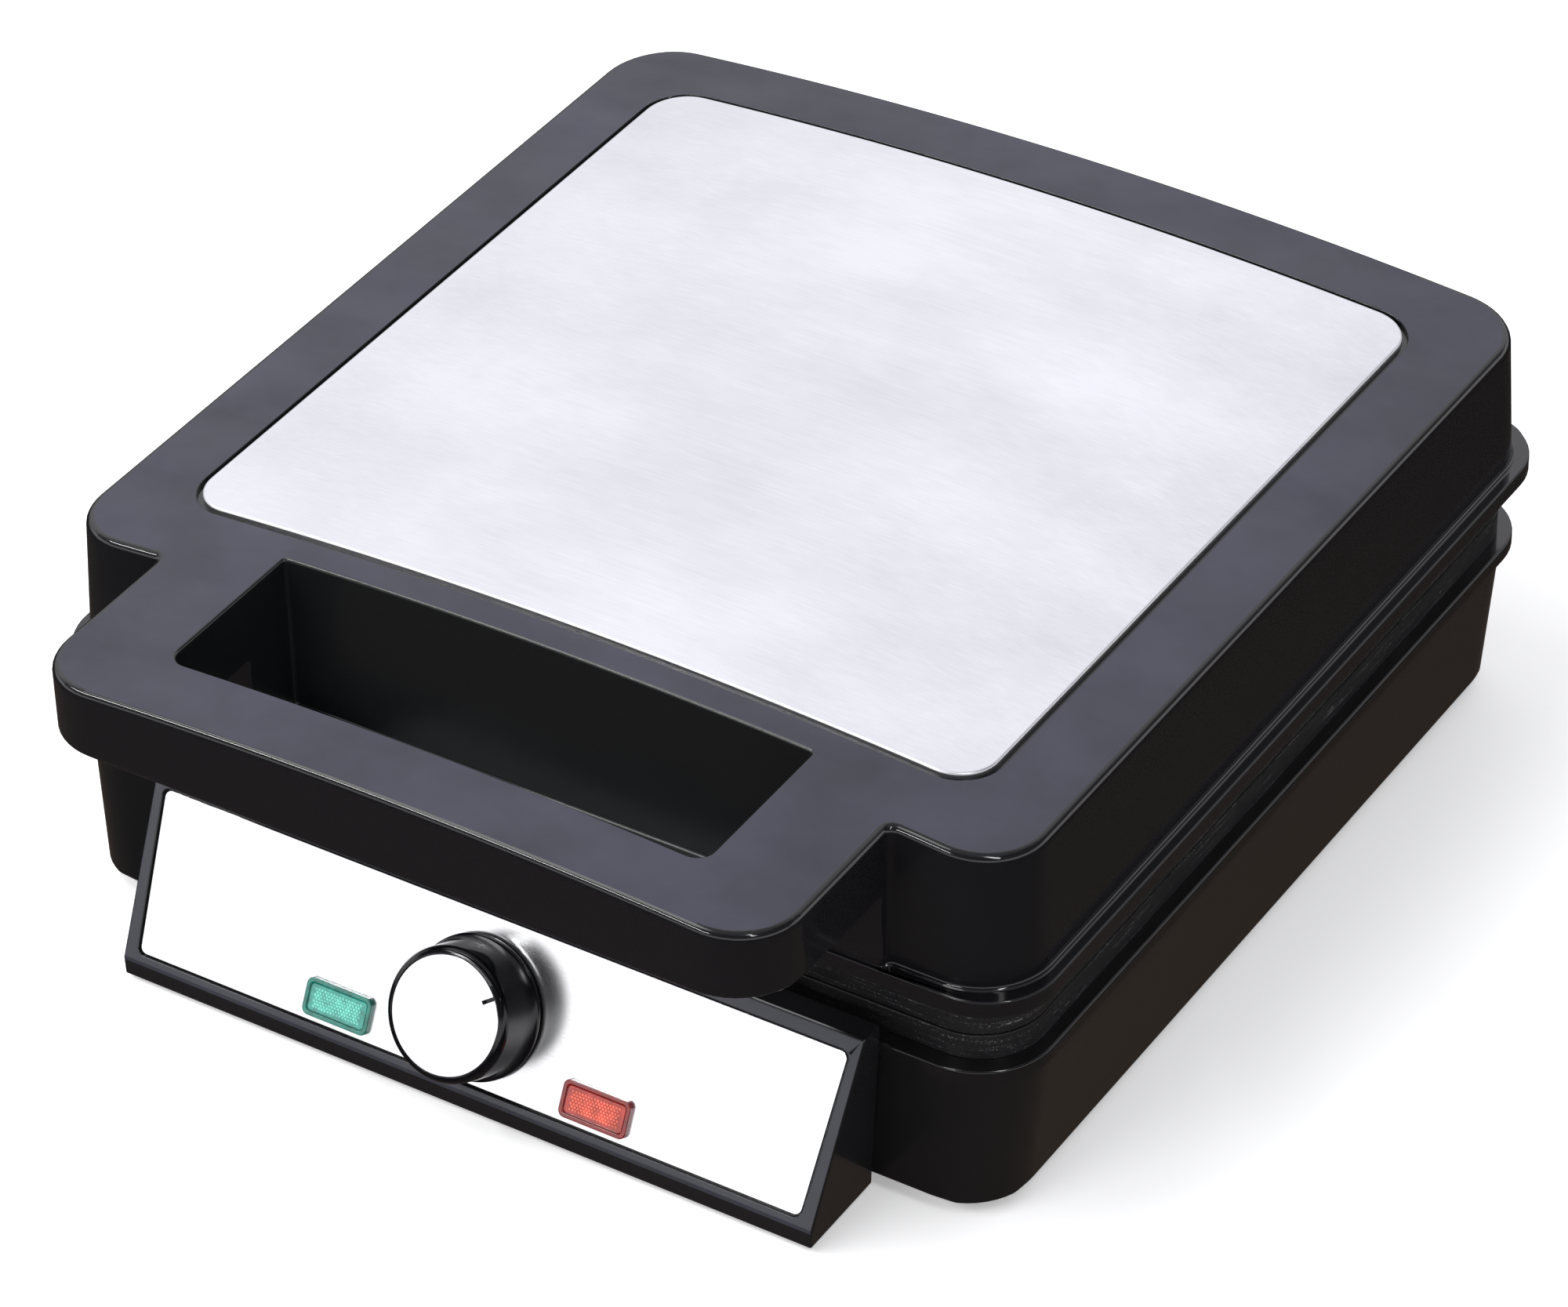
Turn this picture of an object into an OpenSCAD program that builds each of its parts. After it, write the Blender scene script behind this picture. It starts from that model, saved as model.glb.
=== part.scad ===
// Four-slice waffle maker: a tub-shaped base with a sloping control panel, and a crowned lid with a
// moulded loop handle that swings up on two rear hinge pins.
// The origin is on the table under the middle of the overall box. The front is -Y and up is +Z.

/* [Lid] */
// Height of the lid's crown above the table
crown_z = 124; // [122:0.5:126]
// Width of the lid where its walls meet the top
lid_w = 300; // [298:1:302]
// Depth of the lid without its handle
lid_d = 292.5; // [290:0.5:294]
// Corner radius of the lid
lid_r = 20; // [16:1:22]
// How much lower the crowned top is at its side edges
crown_drop = 7.7; // [6:0.1:9]
// How far each wall spreads between the top edge and the flange
wall_spread = 1.5; // [1:0.1:3]
// Wall thickness of the moulded shells
shell_t = 2.8; // [2.4:0.1:3.2]
// How far the flange stands out from the top outline
flange_out = 5.5; // [5:0.1:6]
// Height of the flange
flange_h = 5.2; // [4.5:0.1:6]

/* [Handle] */
// Width of the loop handle
handle_w = 230; // [226:1:234]
// Width of the finger opening
finger_w = 167; // [160:1:170]
// Depth of the finger opening, front to back
finger_d = 52.5; // [48:0.5:54]
// Depth of the handle's front bar
handle_bar = 22.8; // [21:0.1:24]
// Height of the handle below the crown
handle_h = 24.4; // [22:0.1:26]

/* [Steel top plate] */
// Width of the steel plate in the lid
top_plate_w = 250.1; // [246:0.1:252]
// Depth of the steel plate in the lid
top_plate_d = 243.6; // [240:0.1:245]
// Corner radius of the steel plate
top_plate_r = 12.3; // [10:0.1:14]
// How far the steel plate stands above the lid
top_plate_proud = 0.7; // [0.4:0.1:0.9]

/* [Waffle plates] */
// Width of the cast plates
grid_w = 298; // [297:0.5:298.5]
// Depth of the cast plates
grid_d = 290.5; // [289:0.5:291]
// Height of the seam between the two plates
seam_z = 57.8; // [57.5:0.1:58]
// Pockets across each waffle
pegs_x = 6; // [4:1:7]
// Pockets along each waffle
pegs_y = 6; // [4:1:7]
// Depth of the batter cavity in each plate
cavity_h = 11.8; // [10:0.1:12]
// Height of the pegs that press the pockets
peg_h = 8; // [6:0.5:8.5]

/* [Base] */
// Width of the base's rim
rim_w = 306; // [305:0.5:307]
// Height of the rim's top above the table
rim_z = 49.8; // [49.5:0.1:50]
// Height of the rim's outer edge
rim_h = 4.4; // [4:0.1:5]
// Width of the base wall at the bottom
base_foot_w = 298.2; // [295:0.2:300]
// Height of the base shell's lower edge above the table
base_z = 5; // [4.5:0.1:5.5]
// Diameter of each rubber foot
foot_dia = 17; // [14:1:20]

/* [Control panel] */
// Lean of the control panel from upright
panel_lean = 27; // [26:0.5:28]
// Width of the panel housing at its top
panel_top_w = 227.5; // [226:0.5:229]
// Width of the panel housing at its bottom
panel_foot_w = 222.5; // [221:0.5:224]
// Diameter of the knob's face
knob_dia = 34; // [33:0.1:35]
// Length of the knob in front of the panel
knob_len = 16; // [15:0.1:18]
// Direction of the knob's pointer, clockwise from the top
pointer_deg = 55; // [0:1:90]

/* [Hinge] */
// Diameter of the hinge pins
pin_dia = 5; // [4:0.5:6]
// Radius of the hinge eyes
eye_r = 6; // [5.5:0.5:6]
// Distance of each hinge from the middle
hinge_x = 72.7; // [60:0.1:90]

/* [Hidden] */

// Overall places
front_y = -184.5;
back_y = 184.5;
lid_y = 23;
crown_radius = (lid_w * lid_w / 4 + crown_drop * crown_drop) / (2 * crown_drop);
finger_back_y = front_y + handle_bar + finger_d;
finger_front_y = front_y + handle_bar;
handle_z = crown_z - handle_h;
handle_front_r = 20;
eps = 0.01;

// Lid
flange_z = 70.3;
flange_r = 21;
crown_top_z = 125;
spread_per_mm = wall_spread / (crown_z - crown_drop - flange_z - flange_h);
lid_out_low = wall_spread + flange_h * spread_per_mm;
lid_out_high = -(crown_top_z - crown_z + crown_drop) * spread_per_mm;
leg_front_y = lid_y - 150.6;
ledge_z = 72.8;
niche_wall_y = finger_back_y + shell_t;
plate_y = lid_y + 0.6;
plate_gap = 1.6;
plate_recess = 1.3;
sheet_t = 0.8;

// Heating elements
tube_r = 3.2;
element_x = 100;
element_dy = 92;
terminal_x = 20;
terminal_y = lid_y - element_dy - 26;

// Waffle plates
grid_r = 19;
plate_clear = 0.15;
web_w = 14;
border_w = 19;
upper_rim_h = 12.25;
cavity_w = (grid_w - 2 * border_w - web_w) / 2;
cavity_d = (grid_d - 2 * border_w - web_w) / 2;
cavity_r = 6;
peg_side = 12;
core_in = 16;
skin_t = 3;
screw_x = 138.5;
screw_dy = 134.5;
boss_r = 4;
screw_hole_r = 1.6;
upper_back_z = seam_z + plate_clear + upper_rim_h;
lower_heat_z = seam_z - 0.1 - cavity_h - skin_t - tube_r - 0.25;
upper_heat_z = seam_z + plate_clear + cavity_h + skin_t + tube_r + 0.25;
shank_r = 1.5;

// Base
rim_front_y = lid_y - 150.3;
rim_back_y = lid_y + 149.3;
rim_r = 22;
wall_top_w = 304.4;
wall_front_y = lid_y - 149.8;
wall_foot_y = lid_y - 152;
wall_back_top_y = lid_y + 141;
wall_back_foot_y = lid_y + 139.5;
wall_r = 20;
ledge_in = 12.5;
side_boss_x = 140;
gland_x = -96;
gland_z = 22;
cover_t = 2.4;
foot_x = 118;
foot_front_y = lid_y - 122;
foot_back_y = lid_y + 116;

// Control panel, with its face through these two edges
panel_foot_y = lid_y - 182.3;
panel_foot_z = 7.4;
housing_z = 1.5;
panel_h = 54.3;
panel_top_y = panel_foot_y + panel_h * sin(panel_lean);
panel_top_z = panel_foot_z + panel_h * cos(panel_lean);
bezel_foot = 2.2;
bezel_top = 4.4;
bezel_side = 3.8;
bezel_depth = 1.5;
fascia_t = 0.8;
fascia_gap = 0.5;
post_x = 105;
post_z = 25;
knob_up = 24;
lens_x = 41.7;
lens_up = 9.7;
lens_w = 21.2;
lens_h = 10.7;
shaft_r = 3;

// Hinge
pivot_y = back_y - eye_r;
pivot_z = seam_z;
lug_w = 12;
lug_gap = 0.5;
ear_w = 5;
pin_head_r = 3.8;
pin_head_t = 1.4;

// Distance back of the front wall's outside at a height
function front_wall_y(z) = wall_foot_y
    + (wall_front_y - wall_foot_y) * (z - base_z) / (rim_z - rim_h - base_z);

// A quarter turn of points round a centre, from a start angle
function corner(x, y, r, a0, n) = [
    for (i = [0 : n])
        [x + r * cos(a0 + 90 * i / n), y + r * sin(a0 + 90 * i / n)]];

// A rectangle with round corners, centred on the origin
function round_rect(w, d, r, n = 8) = concat(
    corner(w / 2 - r, d / 2 - r, r, 0, n),
    corner(-w / 2 + r, d / 2 - r, r, 90, n),
    corner(-w / 2 + r, -d / 2 + r, r, 180, n),
    corner(w / 2 - r, -d / 2 + r, r, 270, n));

// A flat slab with round corners between two heights
module slab(w, d, r, z0, z1, y = 0, n = 8) {
    translate([0, y, z0])
        linear_extrude(z1 - z0)
            polygon(round_rect(w, d, r, n));
}

// A shell blank whose walls lean between a lower and an upper outline
module leaning(w0, y0a, y0b, z0, w1, y1a, y1b, z1, r) {
    hull() {
        slab(w0, y0b - y0a, r, z0, z0 + eps, (y0a + y0b) / 2);
        slab(w1, y1b - y1a, r, z1 - eps, z1, (y1a + y1b) / 2);
    }
}

// The lid outline grown by an amount that changes with height
module lid_blank(grow, z0) {
    low = lid_out_low + grow;
    high = lid_out_high + grow;
    leaning(lid_w + 2 * low, lid_y - lid_d / 2 - low, lid_y + lid_d / 2 + low, z0,
        lid_w + 2 * high, lid_y - lid_d / 2 - high, lid_y + lid_d / 2 + high, crown_top_z, lid_r);
}

// Everything under the crowned top, lowered by an offset
module under_crown(drop) {
    intersection() {
        translate([0, 200, crown_z - crown_radius])
            rotate([90, 0, 0])
                cylinder(r = crown_radius - drop, h = 400, $fn = 256);
        translate([-160, front_y - 1, 60])
            cube([320, back_y - front_y + 2, 80]);
        children();
    }
}

// Box between two corners
module block(a, b) {
    translate(a)
        cube(b - a);
}

// Handle plan, drawn in by an amount
module handle_plan(inset, z0, z1) {
    half_w = handle_w / 2;
    back = leg_front_y + 12;
    r = handle_front_r;
    translate([0, 0, z0])
        linear_extrude(z1 - z0)
            polygon(concat(
                [[half_w - inset, back], [-half_w + inset, back]],
                corner(-half_w + r, front_y + r, r - inset, 180, 8),
                corner(half_w - r, front_y + r, r - inset, 270, 8)));
}

// Upright screw boss with its pilot hole left open
module boss(x, y, z0, z1, r = boss_r) {
    translate([x, y, z0])
        cylinder(r = r, h = z1 - z0, $fn = 48);
}

module pilot(x, y, z0, z1, r = screw_hole_r) {
    translate([x, y, z0])
        cylinder(r = r, h = z1 - z0, $fn = 48);
}

// Children at the four corner screws of the waffle plates
module at_corner_screws() {
    for (sx = [-1, 1], sy = [-1, 1])
        translate([sx * screw_x, lid_y + sy * screw_dy, 0])
            children();
}

// Children at the four screws of the handle cover
module at_handle_screws() {
    for (sx = [-1, 1]) {
        translate([sx * 99.3, -140, 0])
            children();
        translate([sx * 55, front_y + handle_bar / 2, 0])
            children();
    }
}

// Children in the control panel's own frame: X across, Y up the face, Z outwards
module on_panel() {
    translate([0, panel_foot_y, panel_foot_z])
        rotate([90 - panel_lean, 0, 0])
            children();
}

// Pan-head screw standing on its head, with the shank upwards
module screw_up(head_r, head_h, r, length) {
    cylinder(r = head_r, h = head_h, $fn = 48);
    translate([0, 0, head_h - eps])
        cylinder(r = r, h = length, $fn = 48);
}

// ---------------------------------------------------------------- lid

module lid_lug(sx) {
    translate([sx * hinge_x - lug_w / 2 + lug_gap, 0, 0]) {
        translate([0, pivot_y, pivot_z])
            rotate([0, 90, 0])
                cylinder(r = eye_r, h = lug_w - 2 * lug_gap, $fn = 96);
        block([0, pivot_y - 3.5, pivot_z], [lug_w - 2 * lug_gap, pivot_y + 5, flange_z + flange_h]);
        block([0, lid_y + 147, flange_z], [lug_w - 2 * lug_gap, pivot_y, flange_z + flange_h]);
    }
}

module lid_shell() {
    color([0.1, 0.1, 0.12])
        difference() {
            union() {
                difference() {
                    union() {
                        under_crown(0)
                            union() {
                                lid_blank(0, flange_z);
                                handle_plan(0, handle_z, crown_top_z + 2);
                                block([-handle_w / 2, leg_front_y, flange_z],
                                    [handle_w / 2, lid_y - 140, crown_top_z + 2]);
                            }
                        slab(lid_w + 2 * flange_out, lid_d + 2 * flange_out, flange_r, flange_z,
                            flange_z + flange_h, lid_y);
                    }
                    // Inside of the lid, kept clear of the finger niche
                    under_crown(shell_t)
                        difference() {
                            lid_blank(-shell_t, flange_z - 1);
                            block([-finger_w / 2 - shell_t, front_y, flange_z - 2],
                                [finger_w / 2 + shell_t, niche_wall_y, crown_top_z + 3]);
                        }
                    // Finger opening through the handle
                    translate([0, (finger_front_y + finger_back_y) / 2, ledge_z])
                        linear_extrude(crown_z - ledge_z + 5)
                            polygon(concat(
                                [[finger_w / 2, finger_d / 2], [-finger_w / 2, finger_d / 2]],
                                corner(-finger_w / 2 + 5, -finger_d / 2 + 5, 5, 180, 6),
                                corner(finger_w / 2 - 5, -finger_d / 2 + 5, 5, 270, 6)));
                    // Hollow inside the handle, open below
                    under_crown(shell_t)
                        difference() {
                            handle_plan(shell_t, handle_z - 1, crown_top_z + 3);
                            block([-finger_w / 2 - shell_t, finger_front_y - shell_t, handle_z - 2],
                                [finger_w / 2 + shell_t, lid_y, crown_top_z + 4]);
                            block([-handle_w, leg_front_y - shell_t, handle_z - 2],
                                [handle_w, lid_y, crown_top_z + 4]);
                        }
                    // Seat of the steel top plate
                    difference() {
                        slab(top_plate_w + 2 * plate_gap, top_plate_d + 2 * plate_gap,
                            top_plate_r + plate_gap, crown_z - crown_drop - 8, crown_z + 3, plate_y);
                        under_crown(plate_recess)
                            block([-150, lid_y - 160, 70], [150, lid_y + 160, crown_z + 5]);
                    }
                }
                // Bosses for the upper plate and for the handle cover
                under_crown(1)
                    union() {
                        at_corner_screws()
                            boss(0, 0, upper_back_z + 1, crown_top_z);
                        at_handle_screws()
                            boss(0, 0, handle_z + cover_t, crown_top_z, 3.5);
                    }
                for (sx = [-1, 1])
                    lid_lug(sx);
            }
            at_corner_screws()
                pilot(0, 0, seam_z, 84);
            at_handle_screws()
                pilot(0, 0, handle_z, handle_z + 12, 1.2);
            for (sx = [-1, 1])
                translate([sx * hinge_x - lug_w, pivot_y, pivot_z])
                    rotate([0, 90, 0])
                        cylinder(d = pin_dia + 0.1, h = 2 * lug_w, $fn = 96);
        }
}

module top_plate() {
    color([0.86, 0.86, 0.88])
        difference() {
            under_crown(-top_plate_proud)
                slab(top_plate_w, top_plate_d, top_plate_r, 100, crown_z + 3, plate_y);
            under_crown(sheet_t - top_plate_proud)
                slab(top_plate_w - 2 * sheet_t, top_plate_d - 2 * sheet_t, top_plate_r - sheet_t, 90,
                    crown_z + 2, plate_y);
            // Cut just above the floor of its seat
            under_crown(plate_recess - 0.03)
                block([-150, lid_y - 160, 70], [150, lid_y + 160, crown_z + 5]);
        }
}

module handle_cover() {
    color([0.08, 0.08, 0.09])
        difference() {
            handle_plan(shell_t + 0.15, handle_z, handle_z + cover_t);
            block([-finger_w / 2 - shell_t - 0.15, finger_front_y - shell_t - 0.15, handle_z - 1],
                [finger_w / 2 + shell_t + 0.15, lid_y, handle_z + cover_t + 1]);
            block([-handle_w, leg_front_y - shell_t - 0.15, handle_z - 1],
                [handle_w, lid_y, handle_z + cover_t + 1]);
            at_handle_screws() {
                pilot(0, 0, handle_z - 1, handle_z + 1.2, 2.8);
                pilot(0, 0, handle_z, handle_z + 5, 1.4);
            }
        }
}

module handle_screws() {
    color([0.7, 0.7, 0.72])
        at_handle_screws()
            translate([0, 0, handle_z + 0.1])
                screw_up(2.6, 1.1, 1.15, 9);
}

// ---------------------------------------------------------------- waffle plates

// One cast plate, facing up from its own z = 0, with cavities and pegs
module cast_plate(rim_below) {
    pitch_x = cavity_w / pegs_x;
    pitch_y = cavity_d / pegs_y;
    difference() {
        union() {
            slab(grid_w, grid_d, grid_r, -rim_below, 0, lid_y);
            slab(grid_w - 2 * core_in, grid_d - 2 * core_in, cavity_r + 2, -cavity_h - skin_t, -1, lid_y);
        }
        for (sx = [-1, 1], sy = [-1, 1])
            translate([sx * (cavity_w + web_w) / 2, lid_y + sy * (cavity_d + web_w) / 2, 0])
                difference() {
                    slab(cavity_w, cavity_d, cavity_r, -cavity_h, 1, 0, 4);
                    translate([0, 0, -cavity_h - 1])
                        linear_extrude(peg_h + 1)
                            for (i = [0 : pegs_x - 1], j = [0 : pegs_y - 1])
                                translate([(i + 0.5) * pitch_x - cavity_w / 2,
                                    (j + 0.5) * pitch_y - cavity_d / 2])
                                    square([peg_side, peg_side], center = true);
                }
        at_corner_screws() {
            pilot(0, 0, -rim_below - 1, 1, 2.1);
            translate([0, 0, -2.2])
                cylinder(r1 = 2.1, r2 = 4.3, h = 2.2 + eps, $fn = 48);
        }
    }
}

// Countersunk screw, head flush with its own z = 0 and the shank downwards
module plate_screw(length) {
    translate([0, 0, -2.3])
        cylinder(r1 = 1.9, r2 = 4.0, h = 2.1, $fn = 48);
    translate([0, 0, -length])
        cylinder(r = shank_r, h = length - 2.2, $fn = 48);
}

module lower_waffle_plate() {
    color([0.2, 0.2, 0.21])
        translate([0, 0, seam_z - 0.1])
            cast_plate(seam_z - 0.1 - rim_z);
}

module upper_waffle_plate() {
    color([0.2, 0.2, 0.21])
        translate([0, 2 * lid_y, seam_z + plate_clear])
            rotate([180, 0, 0])
                cast_plate(upper_rim_h);
}

module lower_plate_screws() {
    color([0.75, 0.75, 0.76])
        at_corner_screws()
            translate([0, 0, seam_z - 0.1])
                plate_screw(22);
}

module upper_plate_screws() {
    color([0.75, 0.75, 0.76])
        at_corner_screws()
            translate([0, 0, seam_z + plate_clear])
                rotate([180, 0, 0])
                    plate_screw(22);
}

// Shallow tray of thin sheet with a brim, open towards its own +Z, brim at z = 0
module heat_tray(depth, hole_r) {
    wall_in = core_in - 1;
    difference() {
        union() {
            slab(grid_w - 8, grid_d - 8, grid_r - 4, -sheet_t, 0, lid_y);
            slab(grid_w - 2 * wall_in, grid_d - 2 * wall_in, 8, -depth, -eps, lid_y);
        }
        slab(grid_w - 2 * wall_in - 2 * sheet_t, grid_d - 2 * wall_in - 2 * sheet_t, 8 - sheet_t,
            -depth + sheet_t, 1, lid_y);
        at_corner_screws()
            pilot(0, 0, -2, 2, hole_r);
    }
}

// Ways through a tray for the leads
module lead_holes(z) {
    for (sx = [-1, 1])
        pilot(sx * terminal_x, terminal_y, z - 3, z + 3, 3);
}

module lower_reflector() {
    depth = 15.5;
    color([0.8, 0.8, 0.8])
        difference() {
            translate([0, 0, rim_z - rim_h - 0.1])
                heat_tray(depth, boss_r + 0.4);
            lead_holes(rim_z - rim_h - depth);
            // Trimmed in front of the rear wall
            block([-150, wall_back_top_y - shell_t - 0.4, 40], [150, back_y, 50]);
        }
}

module upper_reflector() {
    depth = 14;
    color([0.8, 0.8, 0.8])
        difference() {
            translate([0, 2 * lid_y, upper_back_z + 0.1])
                rotate([180, 0, 0])
                    heat_tray(depth, 1.8);
            lead_holes(upper_back_z + depth);
            // Trimmed where the finger niche reaches in
            block([-90, front_y, 60], [90, niche_wall_y + 0.4, 100]);
        }
}

// Tubular heater: two long runs and a rear cross run with round elbows, and terminal ends at the front
module heater(z) {
    for (sx = [-1, 1]) {
        translate([sx * element_x, lid_y - element_dy, z])
            rotate([-90, 0, 0])
                cylinder(r = tube_r, h = 2 * element_dy, $fn = 48);
        translate([sx * element_x, lid_y + element_dy, z])
            sphere(r = tube_r + 0.15, $fn = 32);
        translate([sx * element_x, lid_y - element_dy, z])
            sphere(r = tube_r + 0.15, $fn = 32);
        translate([sx * (element_x + terminal_x) / 2, lid_y - element_dy, z])
            rotate([0, 90, 0])
                cylinder(r = tube_r, h = element_x - terminal_x, $fn = 48, center = true);
        translate([sx * terminal_x, lid_y - element_dy, z])
            sphere(r = tube_r + 0.15, $fn = 32);
        translate([sx * terminal_x, lid_y - element_dy - 20, z])
            rotate([-90, 0, 0])
                cylinder(r = tube_r, h = 20, $fn = 48);
        translate([sx * terminal_x, lid_y - element_dy - 28, z])
            rotate([-90, 0, 0])
                cylinder(r = 1.2, h = 9, $fn = 24);
    }
    translate([-element_x, lid_y + element_dy, z])
        rotate([0, 90, 0])
            cylinder(r = tube_r, h = 2 * element_x, $fn = 48);
}

module lower_element() {
    color([0.35, 0.33, 0.32])
        heater(lower_heat_z);
}

module upper_element() {
    color([0.35, 0.33, 0.32])
        heater(upper_heat_z);
}

// ---------------------------------------------------------------- base

// Eyes that carry one hinge pin, on brackets down the back of the base
module base_ears(sx) {
    for (side = [-1, 1])
        translate([sx * hinge_x + side * (lug_w + ear_w) / 2 - ear_w / 2, 0, 0]) {
            translate([0, pivot_y, pivot_z])
                rotate([0, 90, 0])
                    cylinder(r = eye_r, h = ear_w, $fn = 96);
            block([0, pivot_y - 5.9, rim_z - rim_h - 14], [ear_w, pivot_y + 5.5, pivot_z]);
            block([0, wall_back_foot_y - 2, rim_z - rim_h - 14], [ear_w, pivot_y, rim_z - 0.2]);
        }
}

module base_shell() {
    wall_foot_in = 2 * shell_t;
    color([0.07, 0.07, 0.08])
        difference() {
            union() {
                difference() {
                    union() {
                        slab(rim_w, rim_back_y - rim_front_y, rim_r, rim_z - rim_h, rim_z,
                            (rim_front_y + rim_back_y) / 2);
                        leaning(base_foot_w, wall_foot_y, wall_back_foot_y, base_z,
                            wall_top_w, wall_front_y, wall_back_top_y, rim_z - rim_h + eps, wall_r);
                    }
                    leaning(base_foot_w - wall_foot_in, wall_foot_y + shell_t, wall_back_foot_y - shell_t,
                        base_z - 3, wall_top_w - wall_foot_in, wall_front_y + shell_t,
                        wall_back_top_y - shell_t, rim_z - rim_h, wall_r - shell_t);
                    slab(grid_w - 2 * ledge_in, grid_d - 2 * ledge_in, 10, rim_z - rim_h - 1, rim_z + 1,
                        lid_y);
                    // Way through to the control housing
                    block([-100, wall_foot_y - 1, 12], [100, wall_front_y + shell_t + 1, 40]);
                }
                at_corner_screws()
                    boss(0, 0, base_z + cover_t, rim_z - rim_h + eps);
                for (sx = [-1, 1]) {
                    boss(sx * side_boss_x, lid_y, base_z + cover_t, 24);
                    translate([sx * (side_boss_x + 4), lid_y, base_z + cover_t + 9])
                        cube([7, 2.4, 18], center = true);
                    base_ears(sx);
                }
            }
            at_corner_screws() {
                pilot(0, 0, 30, rim_z + 1);
                pilot(0, 0, base_z, 18, 1.3);
            }
            for (sx = [-1, 1]) {
                pilot(sx * side_boss_x, lid_y, base_z, 18, 1.3);
                translate([sx * hinge_x - 2 * lug_w, pivot_y, pivot_z])
                    rotate([0, 90, 0])
                        cylinder(d = pin_dia, h = 4 * lug_w, $fn = 96);
                // Holes of the screws that hold the control housing
                translate([sx * post_x, wall_foot_y - 1, post_z])
                    rotate([-90, 0, 0])
                        cylinder(r = 1.7, h = shell_t + 5, $fn = 48);
            }
            translate([gland_x, wall_back_foot_y - 6, gland_z])
                rotate([-90, 0, 0])
                    cylinder(r = 7.1, h = 12, $fn = 64);
        }
}

module hinge_pins() {
    span = lug_w + 2 * ear_w;
    color([0.7, 0.7, 0.72])
        for (sx = [-1, 1])
            translate([sx * hinge_x, pivot_y, pivot_z])
                rotate([0, sx * 90, 0]) {
                    translate([0, 0, -span / 2 + 0.5])
                        cylinder(d = pin_dia, h = span, $fn = 96);
                    translate([0, 0, span / 2 + 0.05])
                        cylinder(r = pin_head_r, h = pin_head_t, $fn = 48);
                }
}

module bottom_cover() {
    cover_w = base_foot_w - 2 * shell_t - 0.4;
    cover_front_y = wall_foot_y + shell_t + 0.4;
    cover_back_y = wall_back_foot_y - shell_t - 0.2;
    color([0.16, 0.16, 0.17])
        difference() {
            slab(cover_w, cover_back_y - cover_front_y, wall_r - shell_t, base_z, base_z + cover_t,
                (cover_front_y + cover_back_y) / 2);
            for (i = [-5 : 5], row = [-1, 1])
                block([i * 14 - 2.5, lid_y + row * 52 - 20, 0], [i * 14 + 2.5, lid_y + row * 52 + 20, 10]);
            for (sx = [-1, 1]) {
                for (y = [foot_front_y, foot_back_y])
                    pilot(sx * foot_x, y, 0, 10, 3.1);
                pilot(sx * side_boss_x, lid_y, 0, 10, 1.7);
            }
            at_corner_screws()
                pilot(0, 0, 0, 10, 1.7);
        }
}

module cover_screws() {
    color([0.7, 0.7, 0.72])
        translate([0, 0, base_z - 1.6]) {
            at_corner_screws()
                screw_up(3, 1.55, 1.25, 12);
            for (sx = [-1, 1])
                translate([sx * side_boss_x, lid_y, 0])
                    screw_up(3, 1.55, 1.25, 12);
        }
}

module rubber_feet() {
    color([0.05, 0.05, 0.05])
        for (sx = [-1, 1], y = [foot_front_y, foot_back_y])
            translate([sx * foot_x, y, 0]) {
                cylinder(d1 = foot_dia - 1.5, d2 = foot_dia, h = base_z - 0.02, $fn = 64);
                translate([0, 0, base_z - 0.1])
                    cylinder(r = 3, h = cover_t + 2, $fn = 48);
                translate([0, 0, base_z + cover_t + 0.05])
                    cylinder(r1 = 4, r2 = 2.6, h = 2.5, $fn = 48);
            }
}

// Distance back of the panel face at a height, drawn in by an amount
function face_y(z, inset) = panel_foot_y + inset / cos(panel_lean) + (z - panel_foot_z) * tan(panel_lean);

// Prism along X with the given outline in Y and Z
module side_prism(half_w, outline) {
    translate([-half_w, 0, 0])
        rotate([90, 0, 90])
            linear_extrude(2 * half_w)
                polygon(outline);
}

// Side limits of the panel housing, wider at the top
module side_limits(inset) {
    low = panel_foot_w / 2 - inset;
    high = panel_top_w / 2 - inset;
    translate([0, -100, 0])
        rotate([90, 0, 0])
            linear_extrude(80)
                polygon([[-low, 0], [low, 0], [high, 60], [-high, 60]]);
}

// Outline on the panel face, drawn in from the bezel by an amount
module face_plan(gap, z0, z1) {
    low = panel_foot_w / 2 - bezel_side - gap;
    high = panel_top_w / 2 - bezel_side - gap;
    y0 = bezel_foot + gap;
    y1 = panel_h - bezel_top - gap;
    r = 2.6 - gap;
    translate([0, 0, z0])
        linear_extrude(z1 - z0)
            polygon(concat(
                corner(high - r, y1 - r, r, 0, 6),
                corner(-high + r, y1 - r, r, 90, 6),
                corner(-low + r, y0 + r, r, 180, 6),
                corner(low - r, y0 + r, r, 270, 6)));
}

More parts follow.
